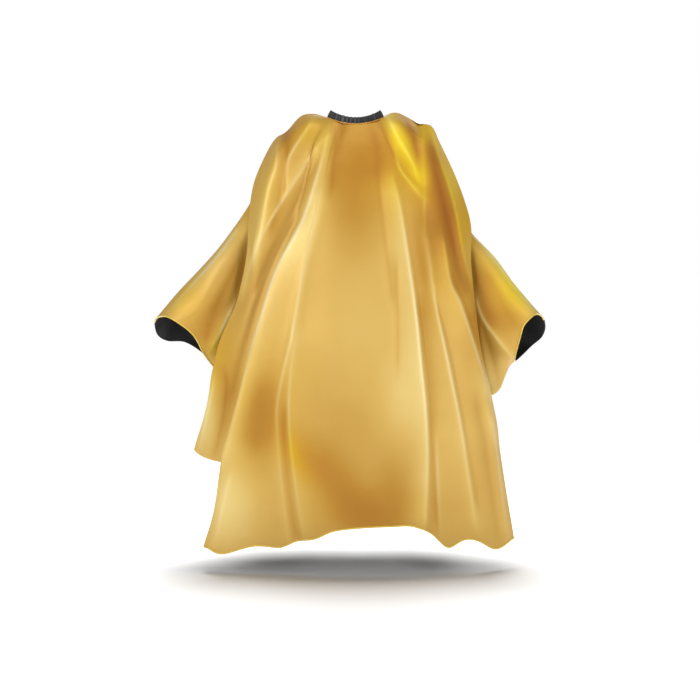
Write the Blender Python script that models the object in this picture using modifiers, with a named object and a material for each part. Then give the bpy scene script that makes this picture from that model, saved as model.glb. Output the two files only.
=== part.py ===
"""Sleeved cape with a gathered neck band, split back and snap closure.

Metres. +Z up, the front faces -Y, the origin is the centre of the neck opening.
"""
import math

import bmesh
import bpy
from mathutils import Vector

# ---- driving dimensions ----
OUTER_T = 0.0008          # satin thickness
LINING_T = 0.0006         # lining thickness
LAYER_GAP = 0.0004        # between the satin and the lining
FRONT_COLS, FRONT_ROWS = 40, 18
HEM_START = 13            # the column where the front hem tape starts, past the pleat
YOKE_COLS, YOKE_ROWS = 5, 9
BACK_COLS, BACK_ROWS = 12, 13
SLEEVE_AROUND, SLEEVE_ALONG = 24, 8

NECK_RX, NECK_RY = 0.0640, 0.0530   # centre line of the band casing
NECK_LOW, NECK_RISE = -0.0080, 0.0180  # band height at the front, and how much the sides rise
BAND_H, BAND_T, BAND_WALL = 0.0160, 0.0056, 0.0007
BAND_LEAN = math.radians(27)
BAND_RIBS = 50
BAND_END = math.radians(27)         # half of the nape gap, seen from the centre
ELASTIC_H, ELASTIC_T = 0.0100, 0.0012
PIPING_R, PIPING_STEPS, PIPING_END = 0.0010, 72, math.radians(10)
PIPING_RX, PIPING_RY, PIPING_DROP = 0.0695, 0.0585, 0.0100
SEAM_RX, SEAM_RY, SEAM_DROP = 0.0715, 0.0605, 0.0118  # neck edge of the cloth

BIND_H, BIND_WALL, BIND_GAP = 0.0060, 0.0005, 0.0004

TAB_H, TAB_T = 0.0110, 0.0016
TAB_Y, UNDERLAP_Y = 0.0553, 0.0495
TAB_Z = -0.0068
TAB_HINGE = (0.0275, 0.0490, TAB_Z)
SNAP_X = (-0.0100, 0.0100)
CAP_R, SNAP_R, SOCKET_R, POST_R, KNOB_R = 0.0048, 0.0042, 0.0023, 0.0012, 0.0017
BACK_T, STUD_T, SOCKET_T, CAP_T = 0.0014, 0.0009, 0.0016, 0.0019  # along the snap's axis
STUD_H = 0.0031           # the stud's base and knob together
SNAP_STEPS, GAP, CUTTER_L = 20, 0.0003, 0.0100
UNDERLAP_X = (-0.0262, -0.0230, 0.0000, 0.0130, 0.0158)
TAB_PATH = [(0.0272, 0.0492), (0.0252, 0.0504), (0.0190, 0.0545), (0.0168, TAB_Y),
            (-0.0235, TAB_Y), (-0.0262, TAB_Y)]
END_TAPER = 0.72          # height of a tape's ends against its middle
SHARP_ANGLE = math.radians(40)

YOKE_END_L = (-0.245, 0.050, -0.193)   # outer ends of the yoke seams, where the back hinges end
YOKE_END_R = (0.262, 0.048, -0.215)
NAPE_L, NAPE_R = (-0.006, 0.0615, -0.0215), (0.006, 0.0615, -0.0215)

SLEEVE_AXIS_L = ((-0.248, -0.046, -0.220), (-0.308, -0.060, -0.640))
SLEEVE_AXIS_R = ((0.258, -0.046, -0.240), (0.308, -0.060, -0.660))

GOLD = (0.80, 0.60, 0.22, 1)
BLACK = (0.025, 0.025, 0.028, 1)
CHARCOAL = (0.06, 0.06, 0.065, 1)
YELLOW = (0.86, 0.62, 0.10, 1)
PIPING = (0.72, 0.42, 0.08, 1)
STEEL = (0.6, 0.6, 0.62, 1)

# ---- guide lines ----
# Front panel, from the wearer's right shoulder and side (-X) round the front to the other side.
# Each is (angle at the neck in degrees from the nape towards -X, points down to the hem).
FRONT = [
    (86, [(-0.128, 0.016, 0.004), (-0.168, 0.020, -0.032), (-0.208, 0.018, -0.070),
          (-0.250, 0.004, -0.160), (-0.262, -0.045, -0.255), (-0.262, -0.082, -0.345),
          (-0.288, -0.100, -0.446), (-0.328, -0.100, -0.537), (-0.347, -0.095, -0.604),
          (-0.358, -0.088, -0.685), (-0.373, -0.080, -0.742), (-0.398, -0.075, -0.810)]),
    (110, [(-0.125, -0.050, -0.022), (-0.175, -0.072, -0.075), (-0.208, -0.090, -0.160),
           (-0.222, -0.110, -0.250), (-0.232, -0.125, -0.350), (-0.250, -0.135, -0.450),
           (-0.280, -0.138, -0.560), (-0.312, -0.132, -0.670), (-0.350, -0.120, -0.838)]),
    (128, [(-0.090, -0.068, -0.040), (-0.118, -0.092, -0.120), (-0.138, -0.110, -0.230),
           (-0.160, -0.120, -0.340), (-0.186, -0.125, -0.450), (-0.214, -0.128, -0.570),
           (-0.240, -0.128, -0.700), (-0.268, -0.120, -0.880)]),
    (134, [(-0.076, -0.080, -0.050), (-0.094, -0.108, -0.110), (-0.110, -0.126, -0.200),
           (-0.140, -0.140, -0.290), (-0.186, -0.150, -0.400), (-0.226, -0.158, -0.530),
           (-0.262, -0.162, -0.660), (-0.302, -0.165, -0.810), (-0.352, -0.165, -1.020)]),
    (139, [(-0.085, -0.100, -0.084), (-0.104, -0.130, -0.177), (-0.118, -0.145, -0.237),
           (-0.152, -0.160, -0.300), (-0.193, -0.170, -0.382), (-0.221, -0.180, -0.470),
           (-0.252, -0.185, -0.579), (-0.292, -0.190, -0.717), (-0.323, -0.190, -0.830),
           (-0.341, -0.190, -0.953), (-0.367, -0.190, -1.035)]),
    (144, [(-0.070, -0.104, -0.090), (-0.088, -0.135, -0.180), (-0.112, -0.160, -0.270),
           (-0.152, -0.180, -0.370), (-0.190, -0.192, -0.480), (-0.222, -0.200, -0.600),
           (-0.258, -0.207, -0.740), (-0.286, -0.210, -0.880), (-0.310, -0.212, -1.048)]),
    (155, [(-0.056, -0.100, -0.090), (-0.074, -0.140, -0.190), (-0.098, -0.165, -0.290),
           (-0.125, -0.190, -0.405), (-0.150, -0.207, -0.540), (-0.168, -0.217, -0.690),
           (-0.176, -0.222, -0.850), (-0.170, -0.224, -1.028)]),
    (169, [(-0.022, -0.098, -0.080), (-0.028, -0.136, -0.170), (-0.036, -0.172, -0.290),
           (-0.046, -0.203, -0.420), (-0.054, -0.228, -0.560), (-0.058, -0.241, -0.710),
           (-0.060, -0.246, -0.860), (-0.054, -0.243, -0.995)]),
    (190, [(0.022, -0.098, -0.080), (0.034, -0.134, -0.170), (0.048, -0.168, -0.290),
           (0.062, -0.198, -0.420), (0.074, -0.222, -0.560), (0.080, -0.236, -0.710),
           (0.084, -0.241, -0.860), (0.084, -0.240, -0.985)]),
    (209, [(0.064, -0.090, -0.070), (0.090, -0.126, -0.160), (0.114, -0.156, -0.280),
           (0.136, -0.182, -0.410), (0.152, -0.206, -0.560), (0.164, -0.220, -0.710),
           (0.166, -0.226, -0.860), (0.158, -0.226, -0.995)]),
    (227, [(0.096, -0.076, -0.045), (0.134, -0.104, -0.120), (0.166, -0.132, -0.230),
           (0.192, -0.155, -0.350), (0.216, -0.174, -0.490), (0.238, -0.188, -0.640),
           (0.256, -0.196, -0.800), (0.270, -0.200, -1.020)]),
    (245, [(0.118, -0.052, -0.020), (0.170, -0.068, -0.070), (0.205, -0.088, -0.150),
           (0.230, -0.106, -0.245), (0.252, -0.124, -0.355), (0.272, -0.138, -0.460),
           (0.294, -0.148, -0.570), (0.318, -0.155, -0.720), (0.338, -0.162, -0.880),
           (0.350, -0.166, -1.035)]),
    (274, [(0.100, 0.012, 0.009), (0.135, 0.016, -0.002), (0.185, 0.020, -0.026),
           (0.205, 0.016, -0.060), (0.241, 0.010, -0.134), (0.270, -0.005, -0.210),
           (0.284, -0.040, -0.275), (0.281, -0.080, -0.365), (0.292, -0.095, -0.453),
           (0.304, -0.105, -0.550), (0.324, -0.110, -0.650), (0.347, -0.115, -0.785),
           (0.372, -0.120, -0.940), (0.389, -0.125, -1.032)]),
]

# Back yokes, from the yoke seam up to the shoulder seam.
YOKE_L = [
    (6, [(-0.126, 0.0558, -0.1087), YOKE_END_L]),
    (30, [(-0.085, 0.056, -0.040), (-0.140, 0.054, -0.084), (-0.190, 0.048, -0.130),
          (-0.248, 0.038, -0.194)]),
    (58, [(-0.100, 0.044, -0.010), (-0.150, 0.042, -0.046), (-0.200, 0.036, -0.094),
          (-0.250, 0.022, -0.184)]),
    (83, [(-0.128, 0.021, 0.004), (-0.168, 0.025, -0.032), (-0.208, 0.023, -0.070),
          (-0.250, 0.009, -0.160)]),
]
YOKE_R = [
    (354, [(0.134, 0.0548, -0.1183), YOKE_END_R]),
    (330, [(0.090, 0.056, -0.040), (0.148, 0.054, -0.080), (0.205, 0.048, -0.134),
           (0.266, 0.036, -0.212)]),
    (302, [(0.104, 0.044, -0.008), (0.160, 0.042, -0.038), (0.213, 0.036, -0.094),
           (0.270, 0.020, -0.206)]),
    (277, [(0.100, 0.017, 0.009), (0.135, 0.021, -0.002), (0.185, 0.025, -0.026),
           (0.205, 0.021, -0.060), (0.241, 0.015, -0.134), (0.270, 0.001, -0.205)]),
]

# Back panels, from the centre slit outwards; the first point of each lies on the yoke seam.
BACK_L = [
    [(-0.0065, 0.064, -0.026), (-0.007, 0.085, -0.150), (-0.008, 0.110, -0.300),
     (-0.010, 0.130, -0.450), (-0.010, 0.146, -0.620), (-0.010, 0.156, -0.815)],
    [(-0.0660, 0.062, -0.068), (-0.072, 0.088, -0.190), (-0.078, 0.118, -0.320),
     (-0.086, 0.142, -0.460), (-0.094, 0.160, -0.630), (-0.100, 0.170, -0.830)],
    [(-0.1260, 0.0585, -0.1125), (-0.136, 0.085, -0.220), (-0.144, 0.108, -0.350),
     (-0.155, 0.126, -0.480), (-0.166, 0.138, -0.640), (-0.176, 0.145, -0.822)],
    [(-0.1860, 0.0555, -0.1545), (-0.202, 0.082, -0.250), (-0.214, 0.104, -0.370),
     (-0.232, 0.122, -0.500), (-0.252, 0.134, -0.650), (-0.268, 0.140, -0.815)],
    [(-0.2450, 0.0530, -0.1975), (-0.266, 0.080, -0.270), (-0.282, 0.096, -0.370),
     (-0.306, 0.100, -0.490), (-0.336, 0.086, -0.630), (-0.362, 0.060, -0.790)],
]
BACK_R = [
    [(0.0065, 0.064, -0.026), (0.007, 0.085, -0.150), (0.008, 0.110, -0.300),
     (0.010, 0.130, -0.450), (0.010, 0.146, -0.620), (0.010, 0.156, -0.815)],
    [(0.0700, 0.062, -0.0723), (0.076, 0.090, -0.190), (0.082, 0.120, -0.320),
     (0.088, 0.144, -0.460), (0.096, 0.162, -0.630), (0.104, 0.172, -0.825)],
    [(0.1340, 0.0575, -0.1213), (0.142, 0.090, -0.225), (0.150, 0.114, -0.350),
     (0.160, 0.126, -0.480), (0.170, 0.138, -0.640), (0.180, 0.146, -0.810)],
    [(0.1980, 0.0545, -0.1698), (0.210, 0.090, -0.260), (0.220, 0.110, -0.375),
     (0.234, 0.120, -0.500), (0.250, 0.130, -0.650), (0.262, 0.136, -0.792)],
    [(0.2620, 0.0510, -0.2188), (0.276, 0.080, -0.285), (0.286, 0.096, -0.380),
     (0.298, 0.102, -0.490), (0.308, 0.102, -0.620), (0.316, 0.098, -0.765)],
]

# Sleeves: lines from the armhole to the cuff, from the top round by the front, below and back.
SLEEVE_L = [
    [(-0.246, 0.000, -0.186), (-0.276, -0.003, -0.238), (-0.335, -0.005, -0.319),
     (-0.386, -0.005, -0.3765), (-0.444, -0.005, -0.4375), (-0.499, -0.005, -0.503)],
    [(-0.240, -0.026, -0.240), (-0.280, -0.044, -0.292), (-0.340, -0.058, -0.353),
     (-0.385, -0.064, -0.408), (-0.428, -0.068, -0.453), (-0.468, -0.068, -0.492)],
    [(-0.250, -0.050, -0.315), (-0.291, -0.066, -0.357), (-0.333, -0.078, -0.405),
     (-0.368, -0.086, -0.448), (-0.402, -0.090, -0.482), (-0.430, -0.090, -0.509)],
    [(-0.266, -0.062, -0.400), (-0.297, -0.072, -0.430), (-0.328, -0.078, -0.463),
     (-0.353, -0.082, -0.490), (-0.376, -0.083, -0.516), (-0.398, -0.080, -0.539)],
    [(-0.284, -0.062, -0.500), (-0.305, -0.066, -0.520), (-0.328, -0.066, -0.540),
     (-0.347, -0.066, -0.556), (-0.362, -0.062, -0.570), (-0.376, -0.054, -0.585)],
    [(-0.306, -0.026, -0.590), (-0.320, -0.026, -0.601), (-0.332, -0.024, -0.608),
     (-0.342, -0.018, -0.613), (-0.350, -0.010, -0.617), (-0.357, -0.004, -0.620)],
    [(-0.300, 0.044, -0.562), (-0.320, 0.043, -0.575), (-0.340, 0.038, -0.582),
     (-0.355, 0.040, -0.586), (-0.370, 0.042, -0.589), (-0.384, 0.042, -0.592)],
    [(-0.276, 0.076, -0.460), (-0.310, 0.077, -0.487), (-0.343, 0.076, -0.510),
     (-0.375, 0.074, -0.532), (-0.405, 0.074, -0.552), (-0.431, 0.070, -0.566)],
    [(-0.254, 0.068, -0.320), (-0.294, 0.073, -0.366), (-0.341, 0.074, -0.414),
     (-0.390, 0.070, -0.457), (-0.436, 0.068, -0.505), (-0.476, 0.060, -0.561)],
    [(-0.248, 0.034, -0.222), (-0.282, 0.038, -0.275), (-0.339, 0.037, -0.347),
     (-0.390, 0.040, -0.405), (-0.446, 0.036, -0.470), (-0.498, 0.026, -0.541)],
]
SLEEVE_R = [
    [(0.260, 0.000, -0.224), (0.298, -0.004, -0.294), (0.345, -0.005, -0.345),
     (0.390, -0.005, -0.408), (0.432, -0.005, -0.458), (0.466, -0.005, -0.496)],
    [(0.252, -0.024, -0.264), (0.296, -0.044, -0.322), (0.340, -0.056, -0.372),
     (0.380, -0.062, -0.424), (0.415, -0.064, -0.460), (0.442, -0.064, -0.488)],
    [(0.258, -0.048, -0.335), (0.297, -0.066, -0.377), (0.332, -0.076, -0.420),
     (0.364, -0.083, -0.460), (0.392, -0.086, -0.489), (0.415, -0.085, -0.511)],
    [(0.270, -0.060, -0.425), (0.300, -0.072, -0.452), (0.328, -0.078, -0.480),
     (0.356, -0.082, -0.508), (0.383, -0.082, -0.529), (0.405, -0.076, -0.545)],
    [(0.288, -0.060, -0.530), (0.309, -0.066, -0.550), (0.332, -0.066, -0.564),
     (0.356, -0.063, -0.578), (0.378, -0.055, -0.586), (0.396, -0.045, -0.590)],
    [(0.314, -0.022, -0.678), (0.337, -0.022, -0.690), (0.359, -0.019, -0.676),
     (0.372, -0.014, -0.646), (0.384, -0.008, -0.620), (0.400, 0.000, -0.606)],
    [(0.298, 0.044, -0.610), (0.322, 0.043, -0.625), (0.347, 0.040, -0.622),
     (0.372, 0.042, -0.609), (0.398, 0.042, -0.599), (0.423, 0.040, -0.593)],
    [(0.278, 0.076, -0.475), (0.309, 0.077, -0.504), (0.343, 0.076, -0.528),
     (0.380, 0.072, -0.545), (0.415, 0.072, -0.560), (0.447, 0.066, -0.574)],
    [(0.266, 0.068, -0.345), (0.300, 0.073, -0.392), (0.342, 0.074, -0.439),
     (0.388, 0.068, -0.480), (0.433, 0.066, -0.520), (0.470, 0.056, -0.552)],
    [(0.262, 0.034, -0.256), (0.299, 0.038, -0.310), (0.344, 0.037, -0.368),
     (0.392, 0.040, -0.428), (0.440, 0.036, -0.482), (0.476, 0.026, -0.525)],
]

# Where folds reach the front hem it dips or lifts: (x, depth, half width).
HEM_DIPS = [(-0.330, -0.010, 0.025), (-0.249, 0.005, 0.020), (-0.181, -0.008, 0.018),
            (-0.097, -0.010, 0.022), (0.135, 0.005, 0.020), (0.229, -0.022, 0.024),
            (0.337, -0.018, 0.026)]
HEM_REACH = 0.16          # how far above the hem the dips fade out, as a share of the length

# Folds of the front panel: ridge line as (x, z) points, height, half width.
FRONT_FOLDS = [
    ([(-0.084, -0.200), (-0.145, -0.390), (-0.182, -0.560), (-0.182, -0.750), (-0.168, -1.020)],
     0.010, 0.028),
    ([(-0.140, -0.560), (-0.140, -0.800), (-0.115, -1.010)], 0.010, 0.024),
    ([(0.080, -0.180), (0.118, -0.370), (0.148, -0.600), (0.160, -0.800), (0.158, -0.990)], 0.012, 0.030),
    ([(0.152, -0.230), (0.196, -0.480), (0.246, -0.740), (0.285, -0.990)], 0.010, 0.026),
    ([(0.180, -0.180), (0.240, -0.410), (0.295, -0.580), (0.330, -0.760)], 0.008, 0.022),
]


# ---- scene helpers ----
def clear_scene():
    for ob in list(bpy.data.objects):
        bpy.data.objects.remove(ob, do_unlink=True)
    for me in list(bpy.data.meshes):
        bpy.data.meshes.remove(me)


def collection(name):
    col = bpy.data.collections.new(name)
    bpy.context.scene.collection.children.link(col)
    return col


def material(name, colour, rough):
    mat = bpy.data.materials.new(name)
    mat.use_nodes = True
    bsdf = mat.node_tree.nodes["Principled BSDF"]
    bsdf.inputs["Base Color"].default_value = colour
    bsdf.inputs["Roughness"].default_value = rough
    mat.diffuse_color = colour
    return mat


def add_object(name, verts, faces, colour, rough=0.5, parent=None, edges=()):
    """A named object, with its own material, from lists of points and faces."""
    me = bpy.data.meshes.new(name)
    me.from_pydata([tuple(v) for v in verts], edges, faces)
    me.materials.append(material(name, colour, rough))
    ob = bpy.data.objects.new(name, me)
    PARTS.objects.link(ob)
    if parent:
        ob.parent = parent
        ob.matrix_parent_inverse = parent.matrix_world.inverted()
    return ob


def smooth(ob):
    """Shade soft bends smooth and keep real corners sharp."""
    ob.data.shade_smooth()
    ob.data.set_sharp_from_angle(angle=SHARP_ANGLE)
    return ob


def face_out(ob):
    """Turn a closed mesh's faces outwards."""
    bm = bmesh.new()
    bm.from_mesh(ob.data)
    bmesh.ops.recalc_face_normals(bm, faces=bm.faces)
    bm.to_mesh(ob.data)
    bm.free()
    return smooth(ob)


def solidify(ob, thickness, offset):
    mod = ob.modifiers.new("thickness", "SOLIDIFY")
    mod.thickness = thickness
    mod.offset = offset
    return ob


def joint_empty(name, at):
    ob = bpy.data.objects.new(name, None)
    ob.empty_display_size = 0.03
    ob.location = at
    PARTS.objects.link(ob)
    bpy.context.view_layer.update()
    return ob


# ---- curves and surfaces ----
def catmull(p0, p1, p2, p3, t):
    return 0.5 * (2 * p1 + (p2 - p0) * t + (2 * p0 - 5 * p1 + 4 * p2 - p3) * t * t
                  + (3 * p1 - p0 - 3 * p2 + p3) * t ** 3)


def spline(points, t, closed=False):
    """Point at t from 0 to 1 on a smooth curve through the points."""
    n = len(points)
    spans = n if closed else n - 1
    f = (t % 1.0 if closed else t) * spans
    i = min(int(f), spans - 1)
    if closed:
        p = [points[(i + k) % n] for k in (-1, 0, 1, 2)]
    else:
        p = [points[i + k] if 0 <= i + k < n else None for k in (-1, 0, 1, 2)]
        p[0] = 2 * p[1] - p[2] if p[0] is None else p[0]
        p[3] = 2 * p[2] - p[1] if p[3] is None else p[3]
    return catmull(*p, f - i)


def even_line(points, count):
    """count + 1 points spaced evenly by length along the smooth curve."""
    pts = [Vector(p) for p in points]
    fine = [spline(pts, k / 200) for k in range(201)]
    run = [0.0]
    for a, b in zip(fine, fine[1:]):
        run.append(run[-1] + (b - a).length)
    out, k = [], 0
    for i in range(count + 1):
        want = run[-1] * i / count
        while k < 199 and run[k + 1] < want:
            k += 1
        out.append(fine[k].lerp(fine[k + 1], (want - run[k]) / (run[k + 1] - run[k])))
    return out


def fan(lines, cols, rows):
    """Rows of points across the lines; columns are spread by the width between the lines."""
    lines = [even_line(line, rows) for line in lines]
    at = [0.0]
    for a, b in zip(lines, lines[1:]):
        at.append(at[-1] + sum((q - p).length for p, q in zip(a, b)) / (rows + 1))
    grid = []
    for r in range(rows + 1):
        across = [line[r] for line in lines]
        row = []
        for c in range(cols + 1):
            want = at[-1] * c / cols
            i = max(k for k in range(len(at) - 1) if at[k] <= want + 1e-9)
            t = (i + (want - at[i]) / (at[i + 1] - at[i])) / (len(at) - 1)
            row.append(spline(across, min(t, 1.0)))
        grid.append(row)
    return grid


def tube(lines, around, rows):
    """Rings of points around a closed set of lines."""
    lines = [even_line(line, rows) for line in lines]
    return [[spline([line[r] for line in lines], c / around, True) for c in range(around)]
            for r in range(rows + 1)]


def grid_normals(grid, closed):
    rows, cols = len(grid), len(grid[0])
    out = []
    for r in range(rows):
        line = []
        for c in range(cols):
            down = grid[min(r + 1, rows - 1)][c] - grid[max(r - 1, 0)][c]
            if closed:
                side = grid[r][(c + 1) % cols] - grid[r][c - 1]
            else:
                side = grid[r][min(c + 1, cols - 1)] - grid[r][max(c - 1, 0)]
            line.append(down.cross(side).normalized())
        out.append(line)
    return out


def shifted(grid, normals, by):
    return [[p + n * by for p, n in zip(row, nrow)] for row, nrow in zip(grid, normals)]


def shell(name, grid, closed, thickness, offset, colour, rough, parent=None):
    """One sheet of cloth: an open grid of triangles thickened to one side of it."""
    rows, cols = len(grid), len(grid[0])
    faces = []
    for r in range(rows - 1):
        for c in range(cols if closed else cols - 1):
            a, b = r * cols + c, r * cols + (c + 1) % cols
            faces += [[a, b + cols, b], [a, a + cols, b + cols]]
    ob = add_object(name, [p for row in grid for p in row], faces, colour, rough, parent)
    return solidify(smooth(ob), thickness, offset)


def lofted(name, sections, closed, colour, rough=0.6, parent=None, depths=None):
    """A solid lofted through equal-sided closed sections, round again when closed.

    depths, one per section point, picks each quad's diagonal so it runs the way the cloth's does.
    """
    n, m = len(sections), len(sections[0])
    verts = [p for s in sections for p in s]
    faces = []
    for i in range(n if closed else n - 1):
        for k in range(m):
            j, q = (i + 1) % n, (k + 1) % m
            a, b, d, e = i * m + k, i * m + q, j * m + q, j * m + k
            if depths and depths[q] < depths[k]:
                faces += [[a, b, e], [b, d, e]]
            else:
                faces += [[a, b, d], [a, d, e]]
    if not closed:
        faces += [list(range(m)), list(range((n - 1) * m, n * m))]
    return face_out(add_object(name, verts, faces, colour, rough, parent))


def cloth(name, lining, grid, closed, parent=None):
    """The satin and its lining; returns what the binding needs at the lower edge."""
    close = [p + (q - p).normalized() * BIND_H for p, q in zip(grid[-1], grid[-2])]
    grid = grid[:-1] + [close, grid[-1]]
    normals = grid_normals(grid, closed)
    normals[-1] = normals[-2]
    shell(name, grid, closed, OUTER_T, 1, GOLD, 0.35, parent)
    inside = shifted(grid, normals, -LAYER_GAP)
    shell(lining, inside, closed, LINING_T, -1, BLACK, 0.6, parent)
    edge = []
    for p, above, n in zip(grid[-1], grid[-2], normals[-1]):
        down = (p - above).normalized()
        edge.append((p, n, down))
    return edge


def binding(name, edge, closed, parent=None):
    """A tape folded round both layers along a hem: a U section swept along the edge."""
    out = OUTER_T + BIND_GAP
    inn = -LAYER_GAP - LINING_T - BIND_GAP
    w, g, h = BIND_WALL, BIND_GAP, BIND_H
    profile = [(out, g), (out, -h), (out + w, -h), (out + w, g + w * 0.6), (out, g + w),
               (inn, g + w), (inn - w, g + w * 0.6), (inn - w, -h), (inn, -h), (inn, g)]
    sections = [[p + n * a + d * b for a, b in profile] for p, n, d in edge]
    return lofted(name, sections, closed, YELLOW, 0.45, parent, [b for a, b in profile])


# ---- neck band ----
def neck_frame(angle):
    """Centre of the band and its outward and upward directions, angle from the nape to -X."""
    s, c = math.sin(angle), math.cos(angle)
    centre = Vector((-NECK_RX * s, NECK_RY * c, NECK_LOW + NECK_RISE * s * s))
    out = Vector((-s / NECK_RX, c / NECK_RY, 0)).normalized()
    lean = BAND_LEAN * min(1.0, (1 - c) / 0.6)
    up = Vector((-out.x * math.sin(lean), -out.y * math.sin(lean), math.cos(lean)))
    return centre, Vector((out.x * math.cos(lean), out.y * math.cos(lean), math.sin(lean))), up


def neck_edge(angle):
    s, c = math.sin(angle), math.cos(angle)
    return Vector((-SEAM_RX * s, SEAM_RY * c, NECK_LOW + NECK_RISE * s * s - SEAM_DROP))


def band_stations():
    steps = 2 * BAND_RIBS
    return [neck_frame(BAND_END + (2 * math.pi - 2 * BAND_END) * i / steps) for i in range(steps + 1)]


def band_sections(thick, height):
    """Gathered casing: every other station is a crest, a little thicker and taller."""
    sections = []
    for i, (centre, out, up) in enumerate(band_stations()):
        crest = 0.5 if i % 2 else -0.5
        t = thick / 2 + 0.0007 * crest
        h = height / 2 + 0.0006 * crest
        shape = [(t * 0.6, h), (t, h * 0.7), (t, -h * 0.7), (t * 0.6, -h),
                 (-t * 0.6, -h), (-t, -h * 0.7), (-t, h * 0.7), (-t * 0.6, h)]
        sections.append([centre + out * a + up * b for a, b in shape])
    return sections


def neck_band():
    outer = band_sections(BAND_T, BAND_H)
    inner = band_sections(BAND_T - 2 * BAND_WALL, BAND_H - 2 * BAND_WALL)
    n, m = len(outer), len(outer[0])
    verts = [p for s in outer for p in s] + [p for s in inner for p in s]
    faces = []
    for i in range(n - 1):
        for k in range(m):
            q = (k + 1) % m
            quad = [i * m + k, i * m + q, (i + 1) * m + q, (i + 1) * m + k]
            faces.append(quad)
            faces.append([n * m + v for v in reversed(quad)])
    for i in (0, n - 1):
        for k in range(m):
            q = (k + 1) % m
            faces.append([i * m + k, i * m + q, n * m + i * m + q, n * m + i * m + k])
    face_out(add_object("neck_band", verts, faces, CHARCOAL, 0.8))
    strip = []
    for centre, out, up in band_stations():
        strip += [centre + up * ELASTIC_H / 2, centre - up * ELASTIC_H / 2]
    faces = [[2 * i, 2 * i + 1, 2 * i + 3, 2 * i + 2] for i in range(len(strip) // 2 - 1)]
    solidify(add_object("neck_elastic", strip, faces, BLACK, 0.7), ELASTIC_T, 0)


def piping():
    """Round piping under the band, open at the nape."""
    curve = bpy.data.curves.new("neckline_piping", "CURVE")
    curve.dimensions = "3D"
    curve.bevel_depth = PIPING_R
    curve.bevel_resolution = 1
    curve.use_fill_caps = True
    line = curve.splines.new("POLY")
    line.points.add(PIPING_STEPS)
    for i in range(PIPING_STEPS + 1):
        angle = PIPING_END + (2 * math.pi - 2 * PIPING_END) * i / PIPING_STEPS
        s, c = math.sin(angle), math.cos(angle)
        z = NECK_LOW + NECK_RISE * s * s - PIPING_DROP
        line.points[i].co = (PIPING_RX * s, PIPING_RY * c, z, 1)
    curve.materials.append(material("neckline_piping", PIPING, 0.4))
    PARTS.objects.link(bpy.data.objects.new("neckline_piping", curve))


# ---- closure ----
def cylinder(name, r, length, at, segments=16):
    """A cylinder along Y."""
    me = bpy.data.meshes.new(name)
    bm = bmesh.new()
    bmesh.ops.create_cone(bm, cap_ends=True, segments=segments, radius1=r, radius2=r, depth=length)
    bm.to_mesh(me)
    bm.free()
    ob = bpy.data.objects.new(name, me)
    ob.location = at
    ob.rotation_euler = (math.pi / 2, 0, 0)
    return ob


def plate(name, path, parent=None):
    """A tape standing on edge along a plan path, with snap holes cut along Y near its free end."""
    half = TAB_H / 2
    verts, faces = [], []
    for i, (x, y) in enumerate(path):
        z = half if 0 < i < len(path) - 1 else half * END_TAPER
        verts += [(x, y, TAB_Z + z), (x, y, TAB_Z - z)]
    for i in range(len(path) - 1):
        faces.append([2 * i, 2 * i + 1, 2 * i + 3, 2 * i + 2])
    ob = solidify(add_object(name, verts, faces, BLACK, 0.6, parent), TAB_T, 0)
    for i, x in enumerate(SNAP_X):
        cutter = cylinder("cut_%s_%d" % (name, i), POST_R + GAP, CUTTER_L, (x, path[-1][1], TAB_Z))
        CUTTERS.objects.link(cutter)
        cutter.hide_render = True
        cutter.display_type = "WIRE"
        mod = ob.modifiers.new("hole", "BOOLEAN")
        mod.operation, mod.solver, mod.object = "DIFFERENCE", "EXACT", cutter
    return ob


def turned(name, profile, x, colour, parent=None):
    """A body of revolution about the Y line at x; profile is (radius, y) points, from +Y to -Y."""
    ring = profile[0][0] > 0
    pts = profile + profile[:1] if ring else profile
    edges = [[i, i + 1] for i in range(len(pts) - 1)]
    ob = add_object(name, [(r, 0, y) for r, y in pts], [], colour, 0.35, edges=edges)
    ob.location = (x, 0, TAB_Z)
    ob.rotation_euler = (-math.pi / 2, 0, 0)
    bpy.context.view_layer.update()
    if parent:
        ob.parent = parent
        ob.matrix_parent_inverse = parent.matrix_world.inverted()
    mod = ob.modifiers.new("turn", "SCREW")
    mod.steps = mod.render_steps = SNAP_STEPS
    mod.use_merge_vertices = True
    mod.merge_threshold = 0.00001
    return ob


def closure(hinge):
    """Two tapes that cross at the nape, each with two halves of a press stud."""
    plate("closure_underlap", [(x, UNDERLAP_Y) for x in UNDERLAP_X])
    plate("closure_tab", TAB_PATH, hinge)
    inside = UNDERLAP_Y - TAB_T / 2 - GAP
    outside = UNDERLAP_Y + TAB_T / 2
    base = outside + GAP
    face = TAB_Y - TAB_T / 2 - GAP
    seat = TAB_Y + TAB_T / 2 + GAP
    for x, side in zip(SNAP_X, ("a", "b")):
        turned("snap_back_" + side, [(0, outside), (POST_R, outside), (POST_R, inside), (CAP_R, inside),
                                     (CAP_R, inside - BACK_T * 0.4), (CAP_R * 0.8, inside - BACK_T * 0.9),
                                     (0, inside - BACK_T)], x, BLACK)
        turned("snap_stud_" + side, [(0, base + STUD_H), (KNOB_R * 0.6, base + STUD_H - 0.0001),
                                     (KNOB_R + 0.0001, base + STUD_H * 0.78),
                                     (KNOB_R, base + STUD_T + 0.0001),
                                     (SNAP_R, base + STUD_T), (SNAP_R, base), (0, base)], x, STEEL)
        turned("snap_socket_" + side, [(SOCKET_R, face), (SNAP_R, face), (SNAP_R, face - SOCKET_T),
                                       (SOCKET_R, face - SOCKET_T)], x, STEEL, hinge)
        turned("snap_cap_" + side, [(0, seat + CAP_T), (CAP_R * 0.4, seat + CAP_T * 0.95),
                                    (CAP_R * 0.8, seat + CAP_T * 0.72), (CAP_R, seat + CAP_T * 0.3),
                                    (CAP_R, seat), (POST_R, seat), (POST_R, seat - GAP - TAB_T),
                                    (0, seat - GAP - TAB_T)], x, BLACK, hinge)


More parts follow.
